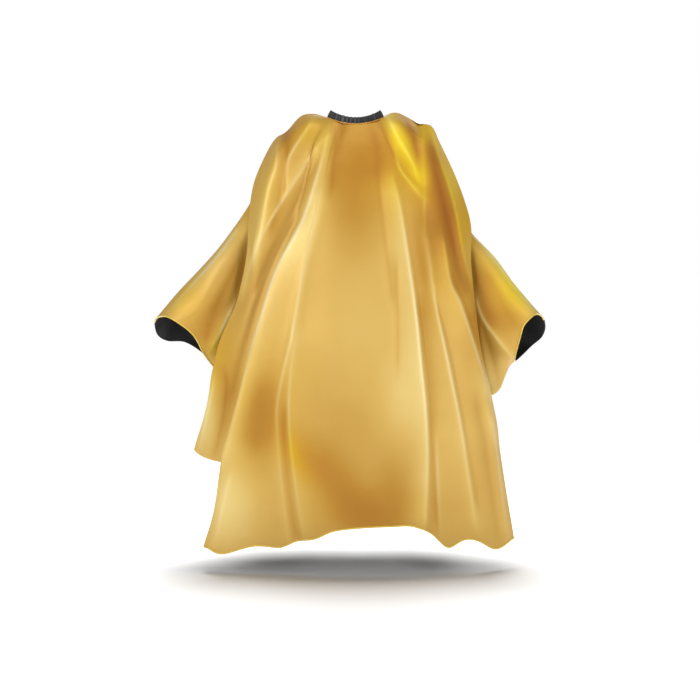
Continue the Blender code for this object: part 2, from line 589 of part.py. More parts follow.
# ---- cloth parts ----
def fold_height(folds, x, z):
    total = 0.0
    for path, height, width in folds:
        zs = [p[1] for p in path]
        if z > zs[0] or z < zs[-1]:
            near = path[0] if z > zs[0] else path[-1]
            fade = max(0.0, 1 - abs(z - near[1]) / 0.08)
            ridge = near[0]
        else:
            i = max(k for k in range(len(zs) - 1) if zs[k] >= z)
            f = (zs[i] - z) / (zs[i] - zs[i + 1])
            ridge = path[i][0] + (path[i + 1][0] - path[i][0]) * f
            fade = 1.0
        total += height * fade * math.exp(-((x - ridge) / width) ** 2)
    return total


def neck_lines(guides):
    return [[neck_edge(math.radians(angle))] + points for angle, points in guides]


def dip_hem(grid, first):
    """Let the hem dip and lift where folds reach it, from column first on."""
    rows = len(grid) - 1
    for c in range(first, len(grid[0])):
        x = grid[-1][c].x
        drop = sum(depth * math.exp(-((x - at) / width) ** 2) for at, depth, width in HEM_DIPS)
        for r in range(rows + 1):
            grid[r][c].z += drop * max(0.0, 1 - (1 - r / rows) / HEM_REACH)


def front():
    grid = fan(neck_lines(FRONT), FRONT_COLS, FRONT_ROWS)
    grid = [[Vector((p.x, p.y - fold_height(FRONT_FOLDS, p.x, p.z), p.z)) for p in row] for row in grid]
    dip_hem(grid, HEM_START)
    edge = cloth("front_panel", "front_lining", grid, False)
    binding("front_hem_binding", edge[HEM_START:], False)


def yokes():
    for side, guides in (("left", YOKE_L), ("right", YOKE_R)):
        lines = neck_lines(guides)
        if side == "right":
            lines.reverse()
        grid = fan(lines, YOKE_COLS, YOKE_ROWS)
        cloth("back_yoke_" + side, "yoke_lining_" + side, grid, False)


def backs():
    for side, lines, start in (("left", BACK_L, NAPE_L), ("right", BACK_R, NAPE_R)):
        hinge = joint_empty("back_%s_hinge" % side, start)
        order = list(lines)
        if side == "right":
            order.reverse()
        grid = fan(order, BACK_COLS, BACK_ROWS)
        edge = cloth("back_panel_" + side, "back_lining_" + side, grid, False, hinge)
        binding("back_hem_binding_" + side, edge, False, hinge)


def sleeves():
    for side, lines, axis in (("left", SLEEVE_L, SLEEVE_AXIS_L), ("right", SLEEVE_R, SLEEVE_AXIS_R)):
        hinge = joint_empty("sleeve_%s_hinge" % side, axis[0])
        order = list(lines)
        if side == "right":
            order.reverse()
        grid = tube(order, SLEEVE_AROUND, SLEEVE_ALONG)
        edge = cloth("sleeve_" + side, "sleeve_lining_" + side, grid, True, hinge)
        binding("cuff_binding_" + side, edge, True, hinge)


clear_scene()
PARTS = collection("sleeved_cape")
CUTTERS = collection("cutters")
front()
yokes()
backs()
sleeves()
neck_band()
piping()
closure(joint_empty("closure_hinge", TAB_HINGE))
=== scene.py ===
"""The looks of the sleeved cape: satin, lining, gathered band, piping, tapes, stitches and snaps.

Metres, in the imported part's frame: +Z up, the front faces -Y, origin at the neck opening.
"""
import math

import bmesh
import bpy
import numpy as np
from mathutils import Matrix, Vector


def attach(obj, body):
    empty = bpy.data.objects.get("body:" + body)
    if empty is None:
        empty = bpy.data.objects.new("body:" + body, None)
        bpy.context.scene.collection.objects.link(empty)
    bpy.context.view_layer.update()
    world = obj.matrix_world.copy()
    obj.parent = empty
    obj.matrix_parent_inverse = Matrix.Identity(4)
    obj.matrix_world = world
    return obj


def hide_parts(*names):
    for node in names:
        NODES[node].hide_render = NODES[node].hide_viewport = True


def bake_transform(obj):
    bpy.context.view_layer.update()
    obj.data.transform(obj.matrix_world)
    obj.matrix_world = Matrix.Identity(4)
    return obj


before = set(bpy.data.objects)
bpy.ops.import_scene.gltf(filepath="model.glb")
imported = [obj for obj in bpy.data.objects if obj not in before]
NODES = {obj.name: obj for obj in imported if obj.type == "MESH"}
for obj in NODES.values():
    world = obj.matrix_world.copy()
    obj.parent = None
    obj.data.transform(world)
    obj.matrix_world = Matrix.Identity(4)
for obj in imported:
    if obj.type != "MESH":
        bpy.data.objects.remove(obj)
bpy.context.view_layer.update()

# ---- driving dimensions ----
CLOTH_T, LINING_T, LAYER_GAP = 0.0005, 0.0004, 0.0012
FRONT_COLS, FRONT_ROWS = 560, 240
YOKE_COLS, YOKE_ROWS = 44, 90
BACK_COLS, BACK_ROWS = 150, 220
SLEEVE_AROUND, SLEEVE_ALONG = 260, 120
TAPE_IN = 0.0004                     # how far the tape turns up inside
TAPE_H, TAPE_T, TAPE_OFF = 0.0030, 0.0005, 0.0003
STITCH_LEN, STITCH_PITCH, STITCH_R = 0.0024, 0.0034, 0.00026
STITCH_UP = 0.0017                   # stitches' distance from the hem
STITCH_SIDES = 6
CUFF_BRIGHT = 0.54                   # share of a cuff's rim bound in bright tape

NECK_RX, NECK_RY = 0.0640, 0.0530    # centre line of the band
NECK_LOW, NECK_RISE = -0.0080, 0.0180
BAND_DOWN = 0.0032                   # the band's centre below the neck line
BAND_H, BAND_T = 0.0184, 0.0058
BAND_LEAN = math.radians(27)
BAND_RIBS = 42
RIB_OUT, RIB_UP = 0.0015, 0.0021     # how far ribs stand out, and ripple the band's edges
BAND_END = math.radians(27)
SEAM_RX, SEAM_RY, SEAM_DROP = 0.0715, 0.0605, 0.0120
PIPING_R, PIPING_RX, PIPING_RY, PIPING_DROP = 0.0013, 0.0714, 0.0605, 0.0117

VIEW_DISTANCE = 5.0
VIEW_TILT = math.radians(5)
VIEW_WIDTH = 1.75                    # metres across the frame at the target
TARGET = Vector((-0.0137, 0.0, -0.58))
SENSOR = 36.0
FLOOR_Z = -1.100
FLOOR_HALF = 30.0
FLOOR_GREY, FLOOR_WHITE = 1.4, 2.6   # the floor turns from a lit surface to plain white between these
AMBIENT = 0.27
EYE = TARGET + Vector((0, -math.cos(VIEW_TILT), math.sin(VIEW_TILT))) * VIEW_DISTANCE

# ---- guide lines: the part's, apart from one front ridge and the root of one sleeve ----
# Front panel: (angle at the neck in degrees from the nape towards -X, points down to the hem).
FRONT = [
    (86, [(-0.128, 0.016, 0.004), (-0.168, 0.02, -0.032), (-0.208, 0.018, -0.07), (-0.25, 0.004, -0.16),
          (-0.262, -0.045, -0.255), (-0.262, -0.082, -0.345), (-0.288, -0.1, -0.446),
          (-0.328, -0.1, -0.537), (-0.347, -0.095, -0.604), (-0.358, -0.088, -0.685),
          (-0.373, -0.08, -0.742), (-0.398, -0.075, -0.81)]),
    (110, [(-0.125, -0.05, -0.022), (-0.175, -0.072, -0.075), (-0.208, -0.09, -0.16),
           (-0.222, -0.11, -0.25), (-0.232, -0.125, -0.35), (-0.25, -0.135, -0.45),
           (-0.28, -0.138, -0.56), (-0.312, -0.132, -0.67), (-0.35, -0.12, -0.838)]),
    (128, [(-0.09, -0.068, -0.04), (-0.118, -0.092, -0.12), (-0.138, -0.11, -0.23),
           (-0.16, -0.12, -0.34), (-0.186, -0.125, -0.45), (-0.214, -0.128, -0.57),
           (-0.24, -0.128, -0.7), (-0.268, -0.12, -0.88)]),
    (134, [(-0.087, -0.083, -0.056), (-0.109, -0.111, -0.13), (-0.129, -0.129, -0.212),
           (-0.16, -0.143, -0.295), (-0.2, -0.153, -0.4), (-0.228, -0.159, -0.53),
           (-0.262, -0.162, -0.66), (-0.302, -0.165, -0.81), (-0.352, -0.165, -1.02)]),
    (139, [(-0.085, -0.1, -0.084), (-0.104, -0.13, -0.177), (-0.118, -0.145, -0.237),
           (-0.152, -0.16, -0.3), (-0.193, -0.17, -0.382), (-0.221, -0.18, -0.47),
           (-0.252, -0.185, -0.579), (-0.292, -0.19, -0.717), (-0.323, -0.19, -0.83),
           (-0.341, -0.19, -0.953), (-0.367, -0.19, -1.035)]),
    (144, [(-0.07, -0.104, -0.09), (-0.088, -0.135, -0.18), (-0.112, -0.16, -0.27),
           (-0.152, -0.18, -0.37), (-0.19, -0.192, -0.48), (-0.222, -0.2, -0.6), (-0.258, -0.207, -0.74),
           (-0.286, -0.21, -0.88), (-0.31, -0.212, -1.048)]),
    (155, [(-0.056, -0.1, -0.09), (-0.074, -0.14, -0.19), (-0.098, -0.165, -0.29),
           (-0.125, -0.19, -0.405), (-0.15, -0.207, -0.54), (-0.168, -0.217, -0.69),
           (-0.176, -0.222, -0.85), (-0.17, -0.224, -1.028)]),
    (169, [(-0.022, -0.098, -0.08), (-0.028, -0.136, -0.17), (-0.036, -0.172, -0.29),
           (-0.046, -0.203, -0.42), (-0.054, -0.228, -0.56), (-0.058, -0.241, -0.71),
           (-0.06, -0.246, -0.86), (-0.054, -0.243, -0.995)]),
    (190, [(0.022, -0.098, -0.08), (0.034, -0.134, -0.17), (0.048, -0.168, -0.29),
           (0.062, -0.198, -0.42), (0.074, -0.222, -0.56), (0.08, -0.236, -0.71), (0.084, -0.241, -0.86),
           (0.084, -0.24, -0.985)]),
    (209, [(0.064, -0.09, -0.07), (0.09, -0.126, -0.16), (0.114, -0.156, -0.28), (0.136, -0.182, -0.41),
           (0.152, -0.206, -0.56), (0.164, -0.22, -0.71), (0.166, -0.226, -0.86), (0.158, -0.226, -0.995)]),
    (227, [(0.096, -0.076, -0.045), (0.134, -0.104, -0.12), (0.166, -0.132, -0.23),
           (0.192, -0.155, -0.35), (0.216, -0.174, -0.49), (0.238, -0.188, -0.64), (0.256, -0.196, -0.8),
           (0.27, -0.2, -1.02)]),
    (245, [(0.118, -0.052, -0.02), (0.17, -0.068, -0.07), (0.205, -0.088, -0.15), (0.23, -0.106, -0.245),
           (0.252, -0.124, -0.355), (0.272, -0.138, -0.46), (0.294, -0.148, -0.57),
           (0.318, -0.155, -0.72), (0.338, -0.162, -0.88), (0.35, -0.166, -1.035)]),
    (274, [(0.1, 0.012, 0.009), (0.135, 0.016, -0.002), (0.185, 0.02, -0.026), (0.205, 0.016, -0.06),
           (0.241, 0.01, -0.134), (0.27, -0.005, -0.21), (0.284, -0.04, -0.275), (0.281, -0.08, -0.365),
           (0.292, -0.095, -0.453), (0.304, -0.105, -0.55), (0.324, -0.11, -0.65),
           (0.347, -0.115, -0.785), (0.372, -0.12, -0.94), (0.389, -0.125, -1.032)]),
]
YOKE_GAP = 0.0012        # each yoke's front edge follows the front panel's, this far behind it
YOKE_END_L, YOKE_END_R = (-0.245, 0.05, -0.193), (0.262, 0.048, -0.215)
NAPE_L, NAPE_R = (-0.006, 0.0615, -0.0215), (0.006, 0.0615, -0.0215)
YOKE_L = [
    (6, [(-0.126, 0.0558, -0.1087), YOKE_END_L]),
    (30, [(-0.085, 0.056, -0.04), (-0.14, 0.054, -0.084), (-0.19, 0.048, -0.13),
          (-0.248, 0.038, -0.194)]),
    (58, [(-0.1, 0.044, -0.01), (-0.15, 0.042, -0.046), (-0.2, 0.036, -0.094),
          (-0.25, 0.022, -0.184)]),
    (85.3, [(x, y + YOKE_GAP, z) for x, y, z in FRONT[0][1][:4]]),
]
YOKE_R = [
    (354, [(0.134, 0.0548, -0.1183), YOKE_END_R]),
    (330, [(0.09, 0.056, -0.04), (0.148, 0.054, -0.08), (0.205, 0.048, -0.134),
           (0.266, 0.036, -0.212)]),
    (302, [(0.104, 0.044, -0.008), (0.16, 0.042, -0.038), (0.213, 0.036, -0.094),
           (0.27, 0.02, -0.206)]),
    (274.7, [(x, y + YOKE_GAP, z) for x, y, z in FRONT[-1][1][:6]]),
]
BACK_L = [
    [(-0.0065, 0.064, -0.026), (-0.007, 0.085, -0.15), (-0.008, 0.11, -0.3),
     (-0.01, 0.13, -0.45), (-0.01, 0.146, -0.62), (-0.01, 0.156, -0.815)],
    [(-0.066, 0.062, -0.068), (-0.072, 0.088, -0.19), (-0.078, 0.118, -0.32),
     (-0.086, 0.142, -0.46), (-0.094, 0.16, -0.63), (-0.1, 0.17, -0.83)],
    [(-0.126, 0.0585, -0.1125), (-0.136, 0.085, -0.22), (-0.144, 0.108, -0.35),
     (-0.155, 0.126, -0.48), (-0.166, 0.138, -0.64), (-0.176, 0.145, -0.822)],
    [(-0.186, 0.0555, -0.1545), (-0.202, 0.082, -0.25), (-0.214, 0.104, -0.37),
     (-0.232, 0.122, -0.5), (-0.252, 0.134, -0.65), (-0.268, 0.14, -0.815)],
    [(-0.245, 0.053, -0.1975), (-0.266, 0.08, -0.27), (-0.282, 0.096, -0.37),
     (-0.306, 0.1, -0.49), (-0.336, 0.086, -0.63), (-0.362, 0.06, -0.79)],
]
BACK_R = [
    [(-x, y, z) for x, y, z in BACK_L[0]],
    [(0.07, 0.062, -0.0723), (0.076, 0.09, -0.19), (0.082, 0.12, -0.32),
     (0.088, 0.144, -0.46), (0.096, 0.162, -0.63), (0.104, 0.172, -0.825)],
    [(0.134, 0.0575, -0.1213), (0.142, 0.09, -0.225), (0.15, 0.114, -0.35),
     (0.16, 0.126, -0.48), (0.17, 0.138, -0.64), (0.18, 0.146, -0.81)],
    [(0.198, 0.0545, -0.1698), (0.21, 0.09, -0.26), (0.22, 0.11, -0.375),
     (0.234, 0.12, -0.5), (0.25, 0.13, -0.65), (0.262, 0.136, -0.792)],
    [(0.262, 0.051, -0.2188), (0.276, 0.08, -0.285), (0.286, 0.096, -0.38),
     (0.298, 0.102, -0.49), (0.308, 0.102, -0.62), (0.316, 0.098, -0.765)],
]
SLEEVE_L = [
    [(-0.246, 0.0, -0.186), (-0.276, -0.003, -0.238), (-0.335, -0.005, -0.319),
     (-0.386, -0.005, -0.3765), (-0.444, -0.005, -0.4375), (-0.499, -0.005, -0.503)],
    [(-0.24, -0.026, -0.24), (-0.28, -0.044, -0.292), (-0.34, -0.058, -0.353),
     (-0.385, -0.064, -0.408), (-0.428, -0.068, -0.453), (-0.468, -0.068, -0.492)],
    [(-0.25, -0.05, -0.315), (-0.291, -0.066, -0.357), (-0.333, -0.078, -0.405),
     (-0.368, -0.086, -0.448), (-0.402, -0.09, -0.482), (-0.43, -0.09, -0.509)],
    [(-0.266, -0.062, -0.4), (-0.297, -0.072, -0.43), (-0.328, -0.078, -0.463),
     (-0.353, -0.082, -0.49), (-0.376, -0.083, -0.516), (-0.398, -0.08, -0.539)],
    [(-0.284, -0.062, -0.5), (-0.305, -0.066, -0.52), (-0.328, -0.066, -0.54),
     (-0.347, -0.066, -0.556), (-0.362, -0.062, -0.57), (-0.376, -0.054, -0.585)],
    [(-0.306, -0.026, -0.59), (-0.32, -0.026, -0.601), (-0.332, -0.024, -0.608),
     (-0.342, -0.018, -0.613), (-0.35, -0.01, -0.617), (-0.357, -0.004, -0.62)],
    [(-0.3, 0.044, -0.562), (-0.32, 0.043, -0.575), (-0.34, 0.038, -0.582),
     (-0.355, 0.04, -0.586), (-0.37, 0.042, -0.589), (-0.384, 0.042, -0.592)],
    [(-0.276, 0.076, -0.46), (-0.31, 0.077, -0.487), (-0.343, 0.076, -0.51),
     (-0.375, 0.074, -0.532), (-0.405, 0.074, -0.552), (-0.431, 0.07, -0.566)],
    [(-0.254, 0.068, -0.32), (-0.294, 0.073, -0.366), (-0.341, 0.074, -0.414),
     (-0.39, 0.07, -0.457), (-0.436, 0.068, -0.505), (-0.476, 0.06, -0.561)],
    [(-0.248, 0.034, -0.222), (-0.282, 0.038, -0.275), (-0.339, 0.037, -0.347),
     (-0.39, 0.04, -0.405), (-0.446, 0.036, -0.47), (-0.498, 0.026, -0.541)],
]
SLEEVE_R = [
    [(0.262, 0.0, -0.272), (0.3, -0.004, -0.303), (0.345, -0.005, -0.347),
     (0.39, -0.005, -0.408), (0.432, -0.005, -0.458), (0.466, -0.005, -0.496)],
    [(0.252, -0.024, -0.264), (0.296, -0.044, -0.322), (0.34, -0.056, -0.372),
     (0.38, -0.062, -0.424), (0.415, -0.064, -0.46), (0.442, -0.064, -0.488)],
    [(0.258, -0.048, -0.335), (0.297, -0.066, -0.377), (0.332, -0.076, -0.42),
     (0.364, -0.083, -0.46), (0.392, -0.086, -0.489), (0.415, -0.085, -0.511)],
    [(0.27, -0.06, -0.425), (0.3, -0.072, -0.452), (0.328, -0.078, -0.48),
     (0.356, -0.082, -0.508), (0.383, -0.082, -0.529), (0.405, -0.076, -0.545)],
    [(0.288, -0.06, -0.53), (0.309, -0.066, -0.55), (0.332, -0.066, -0.564),
     (0.356, -0.063, -0.578), (0.378, -0.055, -0.586), (0.396, -0.045, -0.59)],
    [(0.314, -0.022, -0.678), (0.337, -0.022, -0.69), (0.359, -0.019, -0.676),
     (0.372, -0.014, -0.646), (0.384, -0.008, -0.62), (0.4, 0.0, -0.606)],
    [(0.298, 0.044, -0.61), (0.322, 0.043, -0.625), (0.347, 0.04, -0.622),
     (0.372, 0.042, -0.609), (0.398, 0.042, -0.599), (0.423, 0.04, -0.593)],
    [(0.278, 0.076, -0.475), (0.309, 0.077, -0.504), (0.343, 0.076, -0.528),
     (0.38, 0.072, -0.545), (0.415, 0.072, -0.56), (0.447, 0.066, -0.574)],
    [(0.266, 0.068, -0.345), (0.3, 0.073, -0.392), (0.342, 0.074, -0.439),
     (0.388, 0.068, -0.48), (0.433, 0.066, -0.52), (0.47, 0.056, -0.552)],
    [(0.262, 0.034, -0.256), (0.299, 0.038, -0.31), (0.344, 0.037, -0.368),
     (0.392, 0.04, -0.428), (0.44, 0.036, -0.482), (0.476, 0.026, -0.525)],
]

# Where folds reach the front hem it dips or lifts: (x, depth, half width).
DRAPE_DIPS = [(-0.39, -0.013, 0.024), (-0.362, -0.004, 0.02)]
HEM_DIPS = [(-0.33, -0.009, 0.034), (-0.249, 0.005, 0.03), (-0.181, -0.008, 0.026),
            (-0.097, -0.009, 0.03), (0.135, 0.005, 0.03), (0.222, -0.031, 0.031),
            (0.34, -0.018, 0.032)]
HEM_REACH = 0.2          # how far above the hem the dips fade out, as a share of the length
PLEAT = 13 / 40           # where across the front panel the pleat ends

# ---- folds, by the x and z of their ridge or valley on the cloth ----
# (line of (x, z) from top to bottom, height, widths to the left and right, painted light or shade on the
# ridge).
# A negative height is a valley; a narrow width makes a crisp side.
FRONT_FOLDS = [
    # over the wearer's right shoulder and down to the sleeve
    ([(-0.19, -0.05), (-0.195, -0.12), (-0.215, -0.19), (-0.245, -0.36)], 0.004, 0.026, 0.007, 0.55),
    ([(-0.17, -0.03), (-0.17, -0.12), (-0.18, -0.19), (-0.205, -0.29)], -0.0035, 0.01, 0.012, -0.6),
    ([(-0.1, 0.005), (-0.12, -0.035), (-0.15, -0.08), (-0.165, -0.115), (-0.168, -0.185)],
     0.004, 0.007, 0.022, 0.45),
    ([(-0.075, -0.05), (-0.12, -0.115), (-0.165, -0.185), (-0.22, -0.275), (-0.255, -0.36),
      (-0.275, -0.43)], 0.0045, 0.02, 0.008, 0.55),
    ([(-0.09, -0.105), (-0.13, -0.185), (-0.18, -0.28), (-0.255, -0.445)], -0.003, 0.012, 0.014, -0.25),
    # the long ridge beside the pleat, and the valley outside it
    ([(-0.065, -0.035), (-0.075, -0.085), (-0.095, -0.155), (-0.13, -0.26), (-0.19, -0.37),
      (-0.225, -0.475), (-0.257, -0.58), (-0.28, -0.68), (-0.32, -0.83)], 0.006, 0.009, 0.03, 0.95),
    ([(-0.135, -0.24), (-0.175, -0.31), (-0.21, -0.39), (-0.245, -0.485), (-0.305, -0.69)],
     -0.004, 0.014, 0.01, -0.25),
    # two ridges and the trough between them, down to the hem
    ([(-0.08, -0.16), (-0.1, -0.25), (-0.12, -0.34), (-0.15, -0.515), (-0.185, -0.67), (-0.188, -0.76),
      (-0.178, -0.88), (-0.16, -1.03)], 0.0042, 0.012, 0.01, 0.4),
    ([(-0.14, -0.515), (-0.155, -0.61), (-0.16, -0.735), (-0.145, -0.88), (-0.125, -1.015)],
     0.0042, 0.007, 0.024, 0.4),
    ([(-0.17, -0.695), (-0.173, -0.76), (-0.164, -0.88), (-0.143, -1.03)], -0.0045, 0.006, 0.006, -0.35),
    # shallow valleys under the neck
    ([(-0.03, 0.0), (-0.047, -0.08), (-0.06, -0.185)], -0.0035, 0.012, 0.012, -0.75),
    ([(0.04, -0.025), (0.053, -0.08), (0.06, -0.2), (0.087, -0.445)], -0.0025, 0.01, 0.01, -0.3),
    # the bright folds from the neck towards the wearer's left arm, and the valleys beside them
    ([(0.075, 0.01), (0.1, -0.05), (0.135, -0.11), (0.155, -0.165)], 0.0045, 0.013, 0.026, 1.3),
    ([(0.095, -0.085), (0.108, -0.13), (0.137, -0.17), (0.165, -0.205)], 0.003, 0.003, 0.016, 0.65),
    ([(0.053, 0.0), (0.08, -0.07), (0.118, -0.133), (0.157, -0.175)], -0.003, 0.008, 0.008, -0.55),
    ([(0.12, -0.005), (0.143, -0.05), (0.153, -0.12)], -0.0035, 0.024, 0.008, -1.15),
    ([(0.163, -0.015), (0.166, -0.08), (0.165, -0.265)], 0.003, 0.004, 0.012, 0.3),
    ([(0.161, 0.025), (0.161, -0.06)], -0.008, 0.018, 0.008, 0.0),
    ([(0.183, -0.07), (0.197, -0.135), (0.218, -0.215), (0.25, -0.36), (0.268, -0.42)],
     -0.005, 0.02, 0.016, -1.4),
    ([(0.18, -0.01), (0.21, -0.115), (0.228, -0.167), (0.245, -0.233), (0.26, -0.32), (0.282, -0.418)],
     0.005, 0.005, 0.02, 0.6),
    # the sharp fold from the chest to the hem, with a valley on each side
    ([(0.09, -0.155), (0.107, -0.23), (0.133, -0.4), (0.147, -0.505), (0.156, -0.605), (0.166, -0.7),
      (0.171, -0.82), (0.166, -0.99)], 0.006, 0.045, 0.006, 1.0),
    ([(0.153, -0.445), (0.17, -0.565), (0.18, -0.64), (0.185, -0.79), (0.197, -1.0)],
     -0.004, 0.007, 0.009, -0.45),
    ([(0.097, -0.35), (0.1, -0.445), (0.1, -0.615)], -0.003, 0.014, 0.006, -0.45),
    # fanning folds below the wearer's left arm
    ([(0.165, -0.275), (0.176, -0.35), (0.19, -0.445), (0.225, -0.61), (0.255, -0.76), (0.29, -0.995)],
     0.0048, 0.01, 0.016, 0.6),
    ([(0.195, -0.445), (0.225, -0.555), (0.25, -0.675), (0.298, -0.94)], -0.0036, 0.01, 0.012, -0.4),
    ([(0.192, -0.755), (0.204, -1.015)], 0.003, 0.006, 0.014, 0.35),
    ([(0.208, -0.28), (0.228, -0.4), (0.255, -0.46), (0.305, -0.61), (0.325, -0.675), (0.343, -0.785)],
     0.0048, 0.02, 0.01, 0.6),
    ([(0.235, -0.385), (0.267, -0.46), (0.297, -0.555), (0.32, -0.64)], -0.0036, 0.012, 0.01, -0.55),
    ([(0.33, -0.71), (0.343, -0.81), (0.37, -1.025)], 0.004, 0.03, 0.012, 0.45),
    ([(0.296, -0.685), (0.318, -0.81), (0.35, -1.025)], -0.004, 0.014, 0.014, -0.4),
    # the side drape, and the soft hollow and pale edge above the left end of the hem
    ([(-0.32, -0.61), (-0.316, -0.67), (-0.326, -0.75), (-0.345, -0.83)], -0.004, 0.012, 0.014, -0.5),
    ([(-0.348, -0.625), (-0.353, -0.675), (-0.387, -0.825)], 0.004, 0.016, 0.01, 0.5),
    ([(-0.225, -0.645), (-0.237, -0.8)], -0.003, 0.04, 0.04, -0.35),
    ([(-0.298, -0.85), (-0.317, -0.925), (-0.341, -1.035)], 0.003, 0.02, 0.02, 0.35),
]
SLEEVE_L_FOLDS = [
    ([(-0.28, -0.26), (-0.33, -0.33), (-0.378, -0.387), (-0.466, -0.485)], 0.0035, 0.01, 0.03, 0.75),
    ([(-0.29, -0.355), (-0.32, -0.425), (-0.353, -0.505), (-0.368, -0.56)], -0.004, 0.03, 0.016, -0.7),
    ([(-0.305, -0.33), (-0.35, -0.41), (-0.388, -0.475), (-0.418, -0.505)], 0.0025, 0.022, 0.022, 0.1),
    ([(-0.295, -0.45), (-0.33, -0.525), (-0.36, -0.58)], 0.003, 0.008, 0.012, 0.75),
    ([(-0.27, -0.303), (-0.273, -0.365), (-0.29, -0.427), (-0.315, -0.488)], -0.004, 0.016, 0.008, -0.55),
]
SLEEVE_R_FOLDS = [
    ([(0.308, -0.31), (0.35, -0.363), (0.39, -0.42), (0.45, -0.493)], 0.0035, 0.028, 0.02, 1.25),
    ([(0.292, -0.43), (0.31, -0.49), (0.34, -0.535), (0.388, -0.594)], 0.0035, 0.008, 0.006, 0.75),
    ([(0.282, -0.303), (0.29, -0.39), (0.307, -0.465), (0.336, -0.52)], -0.0045, 0.01, 0.03, -0.75),
    ([(0.302, -0.48), (0.322, -0.55), (0.357, -0.66)], -0.0035, 0.014, 0.014, -0.6),
    ([(0.32, -0.375), (0.356, -0.45), (0.39, -0.512)], -0.003, 0.022, 0.022, -0.4),
]
FOLD_LIFT = 1.45          # how far the folds stand out, against their heights above
FOLD_PAINT = 0.27         # how much of the folds' light and dark is in the cloth's colour
FOLD_FADE = 0.035         # length over which a fold dies out past each end
PAINTED_HIGHLIGHT, PAINTED_HIGHLIGHT_W = 0.38, 0.0034        # strength and half width of the thin painted highlight along a ridge
ARMHOLE_IN = 0.022        # how far each sleeve runs on inside the body panels
ARMHOLE_FLARE = (1.75, 1.35, 1.2)   # how much it widens there: forwards, backwards and in height
BACK_LAP = 0.0052         # how far each back panel laps over the yoke's edge
BACK_FOLD = 0.008         # length below the yoke named in each back panel's blend; nothing here bends the panel
BACK_BEND = 0.1          # length over which a back panel bends from the yoke
SLEEVE_BEND = (0.255, 0.33, -0.35)  # x where a sleeve's blend starts and ends, and the height there; nothing here bends the sleeve
CUFF_FIRST = {"left": 0.98, "right": 0.40}   # where round each cuff the bright tape starts

# Patches of painted light or shade (lighter or darker), and of pale or saturated colour: x, z, half sizes,
# turn, amount.
PAINTED_SHADING_PATCHES = [
    (0.245, -0.13, 0.03, 0.11, 15, 0.14), (0.105, -0.06, 0.024, 0.05, -30, 0.16),
    (0.0, -0.5, 0.11, 0.17, 0, 0.1), (-0.145, -0.295, 0.05, 0.08, 25, 0.12),
    (0.0, -0.17, 0.08, 0.16, 0, -0.2), (-0.23, -0.72, 0.06, 0.12, 8, -0.21),
    (-0.04, -0.88, 0.05, 0.16, -42, -0.15), (0.04, -0.96, 0.14, 0.07, 0, -0.15),
    (-0.3, -0.93, 0.07, 0.11, 0, 0.26), (0.105, -0.675, 0.045, 0.125, 0, 0.14),
    (0.23, -0.755, 0.05, 0.145, 0, 0.08),
    (0.34, -0.64, 0.03, 0.05, 0, 0.22), (0.185, -0.295, 0.045, 0.12, 10, -0.26),
    (0.105, -0.875, 0.06, 0.105, 0, -0.16), (-0.02, -0.77, 0.1, 0.09, 0, -0.06),
    (-0.16, -0.08, 0.06, 0.06, 0, -0.08), (-0.365, -0.75, 0.03, 0.08, 0, 0.22),
    (0.163, -0.46, 0.03, 0.1, 0, -0.08), (0.385, -0.41, 0.04, 0.05, 40, 0.1),
    (0.29, -0.51, 0.03, 0.11, 10, -0.12),
]
WARM_PATCHES = [
    (0.225, -0.11, 0.06, 0.12, 15, 0.95),
    (-0.245, -0.15, 0.07, 0.13, 0, 0.4), (0.445, -0.4, 0.06, 0.14, 40, 0.3),
    (0.167, -0.08, 0.13, 0.12, 0, 1.1), (0.26, -0.23, 0.045, 0.16, 15, 1.0),
    (0.375, -0.4, 0.11, 0.13, 45, 0.65), (-0.217, -0.7, 0.085, 0.155, 10, 0.3),
    (-0.135, -0.82, 0.035, 0.08, -30, 0.75), (-0.118, -0.03, 0.07, 0.05, 0, 0.55),
    (-0.343, -0.59, 0.05, 0.09, 0, 0.65), (0.01, -0.12, 0.08, 0.12, 0, 0.45),
    (0.018, -0.945, 0.125, 0.05, 0, 0.4), (-0.048, -0.875, 0.045, 0.145, -42, 0.35),
    (-0.435, -0.437, 0.08, 0.06, 45, 0.45),
]


# ---- curves and surfaces ----
def catmull(p0, p1, p2, p3, t):
    return 0.5 * (2 * p1 + (p2 - p0) * t + (2 * p0 - 5 * p1 + 4 * p2 - p3) * t * t
                  + (3 * p1 - p0 - 3 * p2 + p3) * t ** 3)


def through(points, t, closed=False):
    """Points at parameters t, from 0 to 1, on a smooth curve through points[k]; works on arrays."""
    pts = np.asarray(points, float)
    n = len(pts)
    if closed:
        pts = np.concatenate([pts[-1:], pts, pts[:2]])
        spans = n
    else:
        pts = np.concatenate([2 * pts[:1] - pts[1:2], pts, 2 * pts[-1:] - pts[-2:-1]])
        spans = n - 1
    f = np.asarray(t) * spans
    i = np.clip(f.astype(int), 0, spans - 1)
    f = (f - i).reshape((-1,) + (1,) * (pts.ndim - 1))
    return catmull(pts[i], pts[i + 1], pts[i + 2], pts[i + 3], f)


def even_line(points, count):
    fine = through(points, np.linspace(0, 1, 401))
    run = np.concatenate([[0], np.cumsum(np.linalg.norm(np.diff(fine, axis=0), axis=1))])
    want = np.linspace(0, run[-1], count + 1)
    return np.stack([np.interp(want, run, fine[:, k]) for k in range(3)], 1)


def fan(lines, cols, rows):
    """Rows of points across the lines, as the part spreads them: [row, column, xyz]."""
    lines = np.array([even_line(line, rows) for line in lines])
    widths = np.linalg.norm(np.diff(lines, axis=0), axis=2).mean(1)
    at = np.concatenate([[0], np.cumsum(widths)])
    t = np.interp(np.linspace(0, at[-1], cols + 1), at, np.linspace(0, 1, len(lines)))
    return through(lines, t).transpose(1, 0, 2)


def tube(lines, around, rows):
    lines = np.array([even_line(line, rows) for line in lines])
    return through(lines, np.arange(around) / around, True).transpose(1, 0, 2)


def unit(v):
    return v / np.maximum(np.linalg.norm(v, axis=-1, keepdims=True), 1e-12)


